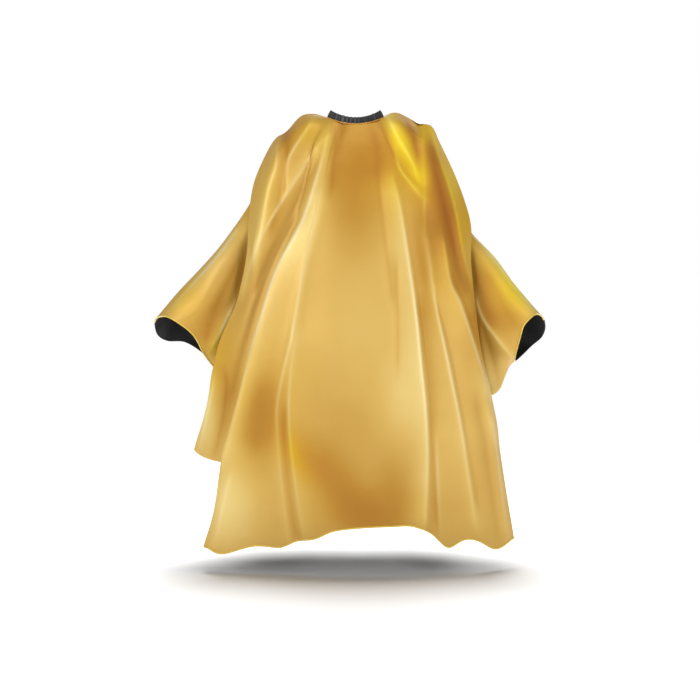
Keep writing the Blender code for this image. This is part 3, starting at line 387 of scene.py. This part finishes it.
def slopes(grid, closed):
    down = np.gradient(grid, axis=0)
    if closed:
        side = (np.roll(grid, -1, 1) - np.roll(grid, 1, 1)) / 2
    else:
        side = np.gradient(grid, axis=1)
    return down, side


def normals(grid, closed=False):
    down, side = slopes(grid, closed)
    return unit(np.cross(down, side))


def crest(d, width, soft):
    """A fold's cross section: rounded over the top by soft, with long falling sides."""
    return np.exp(-(np.sqrt(d * d + soft * soft) - soft) / width)


def fold_field(x, z, folds):
    """Total height, painted light and shade, and thin painted highlight of the folds at points x, z of the
    cloth.
    """
    height, painted_shading, painted_highlight = np.zeros_like(x), np.zeros_like(x), np.zeros_like(x)
    for line, rise, left, right, shade in folds:
        pts = through(line, np.linspace(0, 1, 120))
        order = np.argsort(pts[:, 1])
        zs, xs = pts[order, 1], pts[order, 0]
        ridge = np.interp(z, zs, xs)
        lean = np.interp(z, zs, np.gradient(xs, zs))
        d = (x - ridge) / np.sqrt(1 + lean * lean)
        top, low = line[0][1], line[-1][1]
        above = np.clip((top + FOLD_FADE - z) / (2 * FOLD_FADE), 0, 1)
        below = np.clip((z - low + FOLD_FADE) / (2 * FOLD_FADE), 0, 1)
        ends = above * below
        ends = ends * ends * (3 - 2 * ends)
        width = np.where(d < 0, left, right)
        height += rise * crest(d, np.maximum(width, 0.010), 0.006) * ends
        # painted shade in valleys and painted light on ridges, laid into the cloth's colour
        painted_shading += shade * crest(d, width, 0.002) * ends
        # a thin painted highlight along the brighter ridges
        if shade > 0.3:
            along = np.clip((top - z) / (top - low), 0, 1)
            swell = np.sin(math.pi * along ** 0.8) ** 1.5
            painted_highlight += PAINTED_HIGHLIGHT * shade * np.exp(-(d / PAINTED_HIGHLIGHT_W) ** 2) * ends * swell
    return height, painted_shading, painted_highlight


def patches(x, z, table):
    total = np.zeros_like(x)
    for px, pz, rx, rz, turn, amount in table:
        a = math.radians(turn)
        dx, dz = x - px, z - pz
        u = dx * math.cos(a) - dz * math.sin(a)
        v = dx * math.sin(a) + dz * math.cos(a)
        total += amount * np.exp(-(u / rx) ** 2 - (v / rz) ** 2)
    return total


def neck_edge(angle):
    s, c = math.sin(angle), math.cos(angle)
    return (-SEAM_RX * s, SEAM_RY * c, NECK_LOW + NECK_RISE * s * s - SEAM_DROP)


def neck_lines(guides):
    return [[neck_edge(math.radians(a))] + points for a, points in guides]


# ---- meshes ----
def place(name, data):
    ob = bpy.data.objects.new(name, data)
    bpy.context.scene.collection.objects.link(ob)
    return ob


def paint_points(ob, key, values):
    made = ob.data.attributes.new(key, "FLOAT", "POINT")
    made.data.foreach_set("value", values.reshape(-1).astype(np.float32))


def make_mesh(name, verts, faces, mat):
    me = bpy.data.meshes.new(name)
    verts = np.asarray(verts, np.float32).reshape(-1, 3)
    me.from_pydata(verts.tolist(), [], faces)
    me.materials.append(mat)
    me.update()
    me.shade_smooth()
    return place(name, me)


def quads(rows, cols, closed, base=0):
    r, c = np.meshgrid(np.arange(rows - 1), np.arange(cols if closed else cols - 1), indexing="ij")
    a = base + r * cols + c
    b = base + r * cols + (c + 1) % cols
    return np.stack([a, a + cols, b + cols, b], -1).reshape(-1, 4)


def sheet_mesh(name, grid, low, high, closed, mat, paint=None):
    """A closed sheet between two offsets of a grid, with paint as point attributes."""
    n = normals(grid, closed)
    rows, cols = grid.shape[:2]
    verts = np.concatenate([(grid + n * high).reshape(-1, 3), (grid + n * low).reshape(-1, 3)])
    half = rows * cols
    outer = quads(rows, cols, closed)
    inner = outer[:, ::-1] + half
    rim = []
    for r, flip in ((0, False), (rows - 1, True)):
        c = np.arange(cols if closed else cols - 1)
        a, b = r * cols + c, r * cols + (c + 1) % cols
        f = np.stack([a, b, b + half, a + half], 1)
        rim.append(f[:, ::-1] if flip else f)
    if not closed:
        for c, flip in ((0, True), (cols - 1, False)):
            r = np.arange(rows - 1)
            a, b = r * cols + c, (r + 1) * cols + c
            f = np.stack([a, b, b + half, a + half], 1)
            rim.append(f[:, ::-1] if flip else f)
    faces = np.concatenate([outer, inner] + rim)
    ob = make_mesh(name, verts, faces.tolist(), mat)
    for key, values in (paint or {}).items():
        paint_points(ob, key, np.tile(values.reshape(-1), 2))
    return ob


def swept(name, centres, across, upward, profile, mat):
    """A profile of (across, up) points carried along a line of stations."""
    m = len(profile)
    prof = np.array(profile)
    verts = centres[:, None] + across[:, None] * prof[None, :, :1] + upward[:, None] * prof[None, :, 1:]
    n = len(centres)
    faces = []
    for i in range(n - 1):
        j = i + 1
        faces += [[i * m + k, i * m + (k + 1) % m, j * m + (k + 1) % m, j * m + k] for k in range(m)]
    faces += [list(range(m))[::-1], [(n - 1) * m + k for k in range(m)]]
    ob = make_mesh(name, verts, faces, mat)
    fix_normals(ob)
    return ob


def fix_normals(ob):
    bm = bmesh.new()
    bm.from_mesh(ob.data)
    bmesh.ops.recalc_face_normals(bm, faces=bm.faces)
    bm.to_mesh(ob.data)
    bm.free()


def hem_tape(name, edge, down, out_dir, mat):
    """Tape folded round the lower edge of both layers; little of it shows on the inside."""
    out, inn = CLOTH_T + TAPE_OFF, -LAYER_GAP - LINING_T - TAPE_OFF
    t, h = TAPE_T, TAPE_H
    profile = [(out, 0.0002), (out, -h), (out + t, -h), (out + t, 0.0004), (out * 0.6, 0.0009),
               (inn * 0.6, 0.0009), (inn - t, 0.0004), (inn - t, -TAPE_IN), (inn, -TAPE_IN),
               (inn, 0.0002)]
    return swept(name, edge, out_dir, down, profile, mat)


def stitches(name, line, normal, mat, lift):
    """A row of short threads along a line of points: each a six-sided bead sunk at its ends."""
    seg = np.linalg.norm(np.diff(line, axis=0), axis=1)
    run = np.concatenate([[0], np.cumsum(seg)])
    count = int((run[-1] - STITCH_LEN) / STITCH_PITCH)
    verts, faces = [], []
    rings = (-1.0, -0.6, 0.0, 0.6, 1.0)
    sizes = (0.25, 0.9, 1.0, 0.9, 0.25)
    for i in range(count):
        mid = (i + 0.5) * STITCH_PITCH
        base = len(verts)
        for f, size in zip(rings, sizes):
            s = mid + f * STITCH_LEN / 2
            p = np.array([np.interp(s, run, line[:, k]) for k in range(3)])
            nn = unit(np.array([np.interp(s, run, normal[:, k]) for k in range(3)]))
            q = np.array([np.interp(s + 0.001, run, line[:, k]) for k in range(3)])
            along = unit(q - p)
            side = unit(np.cross(nn, along))
            p = p + nn * (lift - (1 - size) * STITCH_R)
            for k in range(STITCH_SIDES):
                a = 2 * math.pi * k / STITCH_SIDES
                verts.append(p + (side * math.cos(a) + nn * math.sin(a)) * STITCH_R * size)
        faces += (quads(len(rings), STITCH_SIDES, True, base)[:, [0, 3, 2, 1]]).tolist()
        last = base + (len(rings) - 1) * STITCH_SIDES
        faces += [[base + k for k in range(STITCH_SIDES)][::-1], [last + k for k in range(STITCH_SIDES)]]
    return make_mesh(name, verts, faces, mat)


# ---- materials ----
def new_material(name):
    mat = bpy.data.materials.new(name)
    mat.use_nodes = True
    tree = mat.node_tree
    return mat, tree, tree.nodes["Principled BSDF"]


def node(tree, kind, **settings):
    made = tree.nodes.new(kind)
    for key, value in settings.items():
        setattr(made, key, value)
    return made


def fill(made, **values):
    for key, value in values.items():
        made.inputs[key.replace("_", " ")].default_value = value


def dress(tree, bsdf, colour, rough=None):
    tree.links.new(colour, bsdf.inputs["Base Color"])
    if rough is not None:
        tree.links.new(rough, bsdf.inputs["Roughness"])


def ramp(tree, source, stops):
    made = node(tree, "ShaderNodeValToRGB")
    made.color_ramp.elements[0].position = stops[0][0]
    made.color_ramp.elements[0].color = stops[0][1] + (1,)
    made.color_ramp.elements[1].position = stops[-1][0]
    made.color_ramp.elements[1].color = stops[-1][1] + (1,)
    for at, colour in stops[1:-1]:
        made.color_ramp.elements.new(at).color = colour + (1,)
    tree.links.new(source, made.inputs["Fac"])
    return made.outputs["Color"]


def math_node(tree, operation, a, b=None, c=None):
    made = node(tree, "ShaderNodeMath", operation=operation)
    for i, v in enumerate((a, b, c)):
        if v is None:
            continue
        if isinstance(v, (int, float)):
            made.inputs[i].default_value = v
        else:
            tree.links.new(v, made.inputs[i])
    return made.outputs[0]


def weave_height(tree, scale):
    """Fine over-and-under weave, as crossed waves in object space."""
    coords = node(tree, "ShaderNodeTexCoord").outputs["Object"]
    waves = []
    for direction, factor in (("Z", 1.0), ("X", 0.83)):
        wave = node(tree, "ShaderNodeTexWave", wave_type="BANDS", bands_direction=direction,
                    wave_profile="SIN")
        fill(wave, Scale=scale * factor, Distortion=0.6, Detail=1.0)
        tree.links.new(coords, wave.inputs["Vector"])
        waves.append(wave.outputs["Fac"])
    return coords, math_node(tree, "MULTIPLY", waves[0], waves[1])


def noise(tree, coords, scale, detail=3.0, rough=0.5):
    made = node(tree, "ShaderNodeTexNoise")
    fill(made, Scale=scale, Detail=detail, Roughness=rough)
    tree.links.new(coords, made.inputs["Vector"])
    return made.outputs["Fac"]


def bump(tree, bsdf, height, strength, distance):
    made = node(tree, "ShaderNodeBump")
    fill(made, Strength=strength, Distance=distance)
    tree.links.new(height, made.inputs["Height"])
    tree.links.new(made.outputs["Normal"], bsdf.inputs["Normal"])


def attribute(tree, name):
    return node(tree, "ShaderNodeAttribute", attribute_name=name).outputs["Fac"]


def satin():
    """Gold satin with painted light and shade: painted pale on ridges and brown in valleys, a painted
    highlight along ridges, yellower where it is saturated.
    """
    mat, tree, bsdf = new_material("gold_satin")
    coords, weave = weave_height(tree, 420.0)
    cloud = noise(tree, coords, 9.0, 4.0, 0.55)
    # painted light and shade from the folds and patches, with a little random mottle added
    painted_shading = math_node(tree, "ADD", attribute(tree, "painted_shading"), math_node(tree, "MULTIPLY_ADD", cloud, 0.1, -0.05))
    grain = noise(tree, coords, 900.0, 2.0, 0.6)
    painted_shading = math_node(tree, "ADD", painted_shading, math_node(tree, "MULTIPLY_ADD", grain, 0.04, -0.02))
    # colours for the painted shading: brown in painted shade up to near-white in painted light
    pale = ramp(tree, painted_shading, [(0.0, (0.350, 0.178, 0.020)), (0.3, (0.500, 0.265, 0.036)),
                             (0.55, (0.675, 0.440, 0.120)), (0.8, (0.810, 0.630, 0.260)),
                             (1.0, (0.940, 0.870, 0.620))])
    warm = ramp(tree, painted_shading, [(0.0, (0.340, 0.115, 0.014)), (0.3, (0.500, 0.220, 0.022)),
                             (0.55, (0.700, 0.430, 0.022)), (0.8, (0.875, 0.640, 0.022)),
                             (1.0, (0.965, 0.800, 0.070))])
    mix = node(tree, "ShaderNodeMix", data_type="RGBA")
    tree.links.new(attribute(tree, "warm"), mix.inputs["Factor"])
    tree.links.new(pale, mix.inputs["A"])
    tree.links.new(warm, mix.inputs["B"])
    # painted highlight: the ridges' thin highlight mixed into the colour, towards near-white or bright yellow
    painted_highlight_mix = node(tree, "ShaderNodeMix", data_type="RGBA")
    tree.links.new(attribute(tree, "painted_highlight"), painted_highlight_mix.inputs["Factor"])
    tree.links.new(mix.outputs["Result"], painted_highlight_mix.inputs["A"])
    bright = ramp(tree, attribute(tree, "warm"), [(0.2, (0.990, 0.940, 0.700)), (0.9, (0.975, 0.830, 0.120))])
    tree.links.new(bright, painted_highlight_mix.inputs["B"])
    rough = math_node(tree, "MULTIPLY_ADD", noise(tree, coords, 60.0), 0.10, 0.36)
    dress(tree, bsdf, painted_highlight_mix.outputs["Result"], rough)
    bsdf.inputs["Metallic"].default_value = 0.12
    bsdf.inputs["IOR"].default_value = 1.3
    bsdf.inputs["Anisotropic"].default_value = 0.4
    fine = math_node(tree, "ADD", weave, math_node(tree, "MULTIPLY", noise(tree, coords, 140.0), 0.8))
    bump(tree, bsdf, fine, 0.08, 0.0005)
    return mat


def lining():
    mat, tree, bsdf = new_material("black_lining")
    coords, weave = weave_height(tree, 360.0)
    cloud = noise(tree, coords, 22.0)
    black = ramp(tree, cloud, [(0.2, (0.0085, 0.0085, 0.0095)), (0.8, (0.015, 0.015, 0.0165))])
    dress(tree, bsdf, black, math_node(tree, "MULTIPLY_ADD", cloud, 0.15, 0.52))
    bsdf.inputs["Sheen Weight"].default_value = 0.08
    bsdf.inputs["Specular IOR Level"].default_value = 0.3
    bump(tree, bsdf, weave, 0.25, 0.0004)
    return mat


def plain_cloth(name, dark, light, rough, scale, strength, sheen, metallic=0.0):
    """A woven or knitted trim with a mottled colour."""
    mat, tree, bsdf = new_material(name)
    coords, weave = weave_height(tree, scale)
    cloud = noise(tree, coords, 120.0, 4.0, 0.6)
    dress(tree, bsdf, ramp(tree, cloud, [(0.25, dark), (0.75, light)]),
          math_node(tree, "MULTIPLY_ADD", cloud, 0.12, rough))
    bsdf.inputs["Sheen Weight"].default_value = sheen
    bsdf.inputs["Metallic"].default_value = metallic
    bump(tree, bsdf, weave, strength, 0.0004)
    return mat


def knit():
    """Charcoal casing: bluish, with painted shade in its gathers and towards the wearer's left."""
    mat, tree, bsdf = new_material("charcoal_knit")
    coords, weave = weave_height(tree, 520.0)
    side = node(tree, "ShaderNodeSeparateXYZ")
    tree.links.new(coords, side.inputs[0])
    # painted shade growing towards the wearer's left side
    painted_side_shade = math_node(tree, "MULTIPLY_ADD", side.outputs["X"], -3.2, 0.0)
    level = math_node(tree, "ADD", attribute(tree, "painted_shading"), painted_side_shade)
    mottle = math_node(tree, "MULTIPLY_ADD", noise(tree, coords, 260.0), 0.3, -0.15)
    level = math_node(tree, "ADD", level, mottle)
    dress(tree, bsdf, ramp(tree, level, [(0.05, (0.004, 0.004, 0.005)), (0.5, (0.03, 0.032, 0.035)),
                                         (0.95, (0.095, 0.098, 0.105))]))
    bsdf.inputs["Roughness"].default_value = 0.8
    bsdf.inputs["Sheen Weight"].default_value = 0.15
    bump(tree, bsdf, weave, 0.5, 0.0004)
    return mat


def moulded():
    mat, tree, bsdf = new_material("moulded_black")
    coords = node(tree, "ShaderNodeTexCoord").outputs["Object"]
    speck = noise(tree, coords, 900.0, 2.0)
    black = ramp(tree, speck, [(0.3, (0.01, 0.01, 0.011)), (0.7, (0.022, 0.022, 0.024))])
    dress(tree, bsdf, black, math_node(tree, "MULTIPLY_ADD", speck, 0.2, 0.22))
    bump(tree, bsdf, speck, 0.08, 0.0002)
    return mat


def nickel():
    mat, tree, bsdf = new_material("nickel")
    coords = node(tree, "ShaderNodeTexCoord").outputs["Object"]
    scratch = noise(tree, coords, 1500.0, 3.0, 0.7)
    grey = ramp(tree, scratch, [(0.3, (0.46, 0.45, 0.43)), (0.7, (0.66, 0.65, 0.62))])
    dress(tree, bsdf, grey, math_node(tree, "MULTIPLY_ADD", scratch, 0.25, 0.18))
    bsdf.inputs["Metallic"].default_value = 1.0
    bump(tree, bsdf, scratch, 0.05, 0.0001)
    return mat


MATS = {
    "satin": satin(),
    "lining": lining(),
    "tape": plain_cloth("yellow_tape", (0.70, 0.44, 0.030), (0.88, 0.64, 0.070), 0.34, 500.0, 0.2, 0.3, 0.15),
    "piping": plain_cloth("orange_piping", (0.50, 0.20, 0.018), (0.74, 0.38, 0.045), 0.40, 600.0, 0.3, 0.2),
    "thread": plain_cloth("gold_thread", (0.60, 0.38, 0.10), (0.80, 0.58, 0.20), 0.45, 900.0, 0.3, 0.2),
    "webbing": plain_cloth("black_webbing", (0.008, 0.008, 0.009), (0.024, 0.024, 0.027), 0.62, 420.0,
                           0.6, 0.1),
    "elastic": plain_cloth("elastic", (0.010, 0.010, 0.011), (0.030, 0.030, 0.032), 0.7, 300.0, 0.6, 0.0),
    "knit": knit(),
    "moulded": moulded(),
    "nickel": nickel(),
}


# ---- sheets ----
def paint_of(grid, folds, closed=False, base=0.46):
    """Painted light and shade, warmth and painted highlight of each point, from the folds and patches at its
    x and z, strongest where the point faces forwards or up.
    """
    x, z = grid[..., 0], grid[..., 2]
    n = normals(grid, closed)
    facing = np.clip(0.45 - n[..., 1] * 1.3 + np.maximum(n[..., 2], 0) * 0.6, 0, 1)
    painted_shading, painted_highlight = fold_field(x, z, folds)[1:]
    painted_shading = painted_shading * FOLD_PAINT + patches(x, z, PAINTED_SHADING_PATCHES)
    return {"painted_shading": np.clip(base + painted_shading * facing, 0.02, 0.98),
            "warm": np.clip(patches(x, z, WARM_PATCHES) * facing + 0.10, 0, 1),
            "painted_highlight": np.clip(painted_highlight * facing, 0, 1)}


def folded(grid, folds, closed=False, over_top=False):
    """The grid moved out by its folds, where it faces forwards, and over the top too if asked."""
    x, z = grid[..., 0], grid[..., 2]
    n = normals(grid, closed)
    facing = -n[..., 1]
    if over_top:
        facing = np.maximum(facing, n[..., 2] * 0.8)
    height = FOLD_LIFT * fold_field(x, z, folds)[0] * np.clip(facing * 1.6, 0, 1) ** 1.5
    return grid + n * height[..., None]


def layers(node_name, lining_name, grid, closed, paint, body, blend=None):
    """The satin and its lining for one pattern piece, each parented to its body or, given a blend, with its
    transform baked in; the CAD pieces are hidden.
    """
    outer = sheet_mesh(node_name + "_satin", grid, 0.0, CLOTH_T, closed, MATS["satin"], paint)
    inner = sheet_mesh(node_name + "_black", grid[:, ::2], -LAYER_GAP - LINING_T, -LAYER_GAP, closed,
                       MATS["lining"])
    for ob, cad in ((outer, node_name), (inner, lining_name)):
        carry(ob, body, blend)
        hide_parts(cad)


def carry(ob, body, blend):
    if blend:
        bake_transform(ob)
    else:
        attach(ob, body)


def edge_trim(name, node_name, grid, body, blend, first=0, count=None, closed=False):
    """The bright tape along a hem with its row of stitches; the rest of a closed rim is bound in black."""
    total = grid.shape[1]
    n = normals(grid, closed)[-1]
    down = unit(grid[-1] - grid[-3])
    bright = np.arange(first, first + (count or total - first)) % total
    runs = [("_tape", bright, MATS["tape"])]
    if closed:
        runs.append(("_rear_tape", np.arange(bright[-1] + 1, bright[-1] + total - len(bright)) % total,
                     MATS["lining"]))
    for ending, run, mat in runs:
        tape = hem_tape(name + ending, grid[-1][run], down[run], n[run], mat)
        carry(tape, body, blend)
        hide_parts(node_name)
    line = grid[-1][bright] - down[bright] * STITCH_UP
    thread = stitches(name + "_stitches", line, n[bright], MATS["thread"], CLOTH_T + TAPE_OFF + TAPE_T)
    carry(thread, body, blend)


def dip_hem(grid, dips, columns):
    """Lowers or lifts the hem of some columns, fading out above it."""
    x = grid[-1, columns, 0]
    drop = sum(depth * np.exp(-((x - at) / width) ** 2) for at, depth, width in dips)
    reach = np.clip(1 - np.linspace(1, 0, len(grid)) / HEM_REACH, 0, 1)
    grid[:, columns, 2] += reach[:, None] * drop


def front():
    grid = fan(neck_lines(FRONT), FRONT_COLS, FRONT_ROWS)
    pleat = int(FRONT_COLS * PLEAT)
    dip_hem(grid, HEM_DIPS, slice(pleat, None))
    dip_hem(grid, DRAPE_DIPS, slice(0, pleat))
    grid = folded(grid, FRONT_FOLDS, over_top=True)
    paint = paint_of(grid, FRONT_FOLDS)
    layers("front_panel", "front_lining", grid, False, paint, "garment")
    edge_trim("front_hem", "front_hem_binding", grid, "garment", None, pleat)


def yokes():
    for side, guides in (("left", YOKE_L), ("right", YOKE_R)):
        lines = neck_lines(guides)
        if side == "right":
            lines.reverse()
        grid = folded(fan(lines, YOKE_COLS, YOKE_ROWS), FRONT_FOLDS, over_top=True)
        paint = paint_of(grid, FRONT_FOLDS)
        layers("back_yoke_" + side, "yoke_lining_" + side, grid, False, paint, "garment")


def fold_wave(turns):
    """A wave from -1 to 1 with narrow crests and broad troughs."""
    return 2 * (0.5 + 0.5 * np.cos(2 * math.pi * turns)) ** 1.6 - 1


def backs():
    for side, lines, nape, end in (("left", BACK_L, NAPE_L, YOKE_END_L),
                                   ("right", BACK_R, NAPE_R, YOKE_END_R)):
        order = lines if side == "left" else lines[::-1]
        order = [[np.array(line[0]) + (0, 0, BACK_LAP)] + line for line in order]
        grid = fan(order, BACK_COLS, BACK_ROWS)
        n = normals(grid)
        u = np.linspace(0, 1, BACK_COLS + 1)[None, :]
        v = np.linspace(0, 1, BACK_ROWS + 1)[:, None]
        wave = fold_wave(3.6 * u + 0.35 * v) + 0.55 * fold_wave(6.3 * u - 0.3 * v + 0.16)
        grid = grid + n * (BACK_FOLD * wave * v ** 0.8)[..., None]
        paint = paint_of(grid, [])
        # painted light on the crests of the back's folds and painted shade in their troughs
        paint["painted_shading"] = np.clip(paint["painted_shading"] + 0.20 * wave * v ** 0.4 - 0.05, 0.02, 0.98)
        # a painted highlight along the highest crests
        paint["painted_highlight"] = 0.5 * np.clip(wave - 1.1, 0, 1) * v ** 0.5
        mid = (Vector(nape) + Vector(end)) / 2
        along = (Vector(end) - Vector(nape)).normalized()
        down = Vector((0, 0, -1)) - along * along.dot(Vector((0, 0, -1)))
        down.normalize()
        body = "back_" + side
        blend = ("garment", body, mid, mid + down * BACK_BEND)
        layers("back_panel_" + side, "back_lining_" + side, grid, False, paint, body, blend)
        edge_trim("back_hem_" + side, "back_hem_binding_" + side, grid, body, blend)


def into_armhole(lines, sign):
    """Runs the sleeve lines on into the armhole, widening, so that no daylight shows round them."""
    starts = np.array([line[0] for line in lines])
    middle = starts.mean(0)
    ahead, behind, tall = ARMHOLE_FLARE
    inner = starts + (-sign * ARMHOLE_IN, 0, 0)
    inner[:, 1] *= np.where(starts[:, 1] < 0, ahead, behind)
    inner[:, 2] = middle[2] + (starts[:, 2] - middle[2]) * tall
    return [[first] + line for first, line in zip(inner, lines)]


def sleeves():
    for side, lines, folds, sign in (("left", SLEEVE_L, SLEEVE_L_FOLDS, -1),
                                     ("right", SLEEVE_R, SLEEVE_R_FOLDS, 1)):
        order = lines if side == "left" else lines[::-1]
        grid = tube(into_armhole(order, sign), SLEEVE_AROUND, SLEEVE_ALONG)
        grid = folded(grid, folds, True)
        body = "sleeve_" + side
        begin, stop, level = SLEEVE_BEND
        blend = ("garment", body, (sign * begin, 0, level), (sign * stop, 0, level))
        paint = paint_of(grid, folds, True)
        layers(body, "sleeve_lining_" + side, grid, True, paint, body, blend)
        first = int(SLEEVE_AROUND * CUFF_FIRST[side])
        edge_trim("cuff_" + side, "cuff_binding_" + side, grid, body, blend, first,
                  int(SLEEVE_AROUND * CUFF_BRIGHT), True)


# ---- neck ----
def neck_frames(angles):
    s, c = np.sin(angles), np.cos(angles)
    centre = np.stack([-NECK_RX * s, NECK_RY * c, NECK_LOW - BAND_DOWN + NECK_RISE * s * s], 1)
    out = unit(np.stack([-s / NECK_RX, c / NECK_RY, 0 * s], 1))
    lean = BAND_LEAN * np.minimum(1.0, (1 - c) / 0.6)
    up = np.stack([-out[:, 0] * np.sin(lean), -out[:, 1] * np.sin(lean), np.cos(lean)], 1)
    return centre, np.stack([out[:, 0] * np.cos(lean), out[:, 1] * np.cos(lean), np.sin(lean)], 1), up


def neck_band():
    """Elastic casing gathered into uneven ribs, with a rippled top edge and painted light on the rib tops."""
    rng = np.random.default_rng(7)
    widths = rng.uniform(0.65, 1.45, BAND_RIBS)
    edges = np.concatenate([[0], np.cumsum(widths)]) / widths.sum()
    tall = rng.uniform(0.70, 1.20, BAND_RIBS)
    per_rib = 12
    t = np.linspace(0, 1, BAND_RIBS * per_rib + 1)
    rib = np.clip(np.searchsorted(edges, t, side="right") - 1, 0, BAND_RIBS - 1)
    local = (t - edges[rib]) / (edges[rib + 1] - edges[rib])
    bulge = np.sin(math.pi * np.clip(local, 0, 1)) ** 0.7 * tall[rib]
    angles = BAND_END + (2 * math.pi - 2 * BAND_END) * t
    centre, out, up = neck_frames(angles)
    around = 28
    verts, painted_rib_shading = [], []
    for k in range(around):
        a = 2 * math.pi * k / around
        sx, sz = math.cos(a), math.sin(a)
        x = np.sign(sx) * abs(sx) ** 0.5 * (BAND_T / 2 - RIB_OUT + RIB_OUT * bulge)
        z = np.sign(sz) * abs(sz) ** 0.75 * (BAND_H / 2 - RIB_UP + RIB_UP * bulge)
        verts.append(centre + out * x[:, None] + up * z[:, None])
        # painted light on the tops of the ribs, painted shade in the gathers between them
        painted_rib_shading.append(np.clip(bulge - 0.35, 0, 1))
    verts = np.stack(verts, 1)
    n, m = verts.shape[:2]
    faces = quads(n, m, True).tolist()
    faces += [list(range(m)), [(n - 1) * m + k for k in range(m)][::-1]]
    ob = make_mesh("neck_band_gathered", verts, faces, MATS["knit"])
    fix_normals(ob)
    paint_points(ob, "painted_shading", np.stack(painted_rib_shading, 1))
    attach(ob, "garment")
    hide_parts("neck_band")


def piping():
    """Round satin piping under the band."""
    angles = np.linspace(math.radians(10), math.radians(350), 420)
    s, c = np.sin(angles), np.cos(angles)
    z = NECK_LOW + NECK_RISE * s * s - PIPING_DROP
    centre = np.stack([-PIPING_RX * s, PIPING_RY * c, z], 1)
    out = np.stack([-s, c, 0 * s], 1)
    up = np.tile([0.0, 0.0, 1.0], (len(angles), 1))
    turns = [k * math.pi / 6 for k in range(12)]
    profile = [(PIPING_R * math.cos(a), PIPING_R * math.sin(a)) for a in turns]
    ob = swept("neck_piping_cord", centre, out, up, profile, MATS["piping"])
    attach(ob, "garment")
    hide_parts("neckline_piping")


def cad_finish():
    """Better materials for the CAD pieces that stay."""
    looks = {"neck_elastic": "elastic", "closure_underlap": "webbing", "closure_tab": "webbing"}
    for side in ("a", "b"):
        looks["snap_cap_" + side] = looks["snap_back_" + side] = "moulded"
        looks["snap_socket_" + side] = looks["snap_stud_" + side] = "nickel"
    for name, look in looks.items():
        me = NODES[name].data
        me.materials.clear()
        me.materials.append(MATS[look])


# ---- stage ----
def light(name, at, aim, size, power, colour=(1, 1, 1)):
    data = bpy.data.lights.new(name, "AREA")
    data.shape = "RECTANGLE"
    data.size, data.size_y = size
    data.energy = power
    data.color = colour
    ob = place(name, data)
    ob.location = at
    ob.rotation_euler = (Vector(aim) - Vector(at)).to_track_quat("-Z", "Y").to_euler()
    return ob


def link_light(lamp, name, piece, state):
    """The lamp lights only the piece, or everything but it."""
    group = bpy.data.collections.new(name)
    group.objects.link(piece)
    group.collection_objects[0].light_linking.link_state = state
    lamp.light_linking.receiver_collection = group


def stage():
    me = bpy.data.meshes.new("floor")
    corners = [(x * FLOOR_HALF, y * FLOOR_HALF, FLOOR_Z) for x, y in ((-1, -1), (1, -1), (1, 1), (-1, 1))]
    me.from_pydata(corners, [], [(0, 1, 2, 3)])
    floor = place("floor", me)
    mat, tree, bsdf = new_material("pale_floor")
    bsdf.inputs["Base Color"].default_value = (0.9, 0.9, 0.9, 1)
    bsdf.inputs["Roughness"].default_value = 0.9
    bsdf.inputs["Specular IOR Level"].default_value = 0.0
    coords = node(tree, "ShaderNodeTexCoord").outputs["Object"]
    length = node(tree, "ShaderNodeVectorMath", operation="LENGTH")
    tree.links.new(coords, length.inputs[0])
    far = node(tree, "ShaderNodeMapRange")
    fill(far, From_Min=FLOOR_GREY, From_Max=FLOOR_WHITE)
    tree.links.new(length.outputs["Value"], far.inputs["Value"])
    glow = node(tree, "ShaderNodeEmission")
    mix = node(tree, "ShaderNodeMixShader")
    tree.links.new(far.outputs["Result"], mix.inputs["Fac"])
    tree.links.new(bsdf.outputs["BSDF"], mix.inputs[1])
    tree.links.new(glow.outputs["Emission"], mix.inputs[2])
    tree.links.new(mix.outputs["Shader"], tree.nodes["Material Output"].inputs["Surface"])
    me.materials.append(mat)

    world = bpy.data.worlds.new("studio")
    world.use_nodes = True
    back = world.node_tree.nodes["Background"]
    back.inputs["Color"].default_value = (1, 1, 1, 1)
    path = node(world.node_tree, "ShaderNodeLightPath")
    level = node(world.node_tree, "ShaderNodeMapRange")
    fill(level, To_Min=AMBIENT, To_Max=1.0)
    world.node_tree.links.new(path.outputs["Is Camera Ray"], level.inputs["Value"])
    world.node_tree.links.new(level.outputs["Result"], back.inputs["Strength"])
    bpy.context.scene.world = world
    bpy.context.scene.view_settings.view_transform = "Standard"

    over_floor = light("floor_light", (0.0, 3.4, 7.0), (0, 0, -1), (4.6, 5.0), 1330)
    lamps = [light("key", (-2.4, -3.4, 1.2), (0, 0, -0.5), (1.8, 1.8), 72, (1.0, 0.98, 0.95)),
             light("fill", (2.8, -3.2, 0.6), (0, 0, -0.5), (1.6, 2.2), 44, (1.0, 0.97, 0.93)),
             light("top", (0.4, -0.8, 3.4), (0, 0, -0.3), (3.0, 2.0), 42),
             light("rim", (0.5, 3.0, 0.6), (0, 0, -0.4), (2.0, 1.5), 18)]
    link_light(over_floor, "lit_by_floor_light", floor, "INCLUDE")
    for lamp in lamps:
        link_light(lamp, "not_lit_by_" + lamp.name, floor, "EXCLUDE")

    camera = bpy.data.cameras.new("camera")
    camera.sensor_width = SENSOR
    camera.lens = SENSOR * VIEW_DISTANCE / VIEW_WIDTH
    camera.clip_end = 200
    ob = place("camera", camera)
    ob.location = EYE
    ob.rotation_euler = (TARGET - EYE).to_track_quat("-Z", "Y").to_euler()
    bpy.context.scene.camera = ob


stage()
neck_band()
piping()
front()
yokes()
backs()
sleeves()
cad_finish()
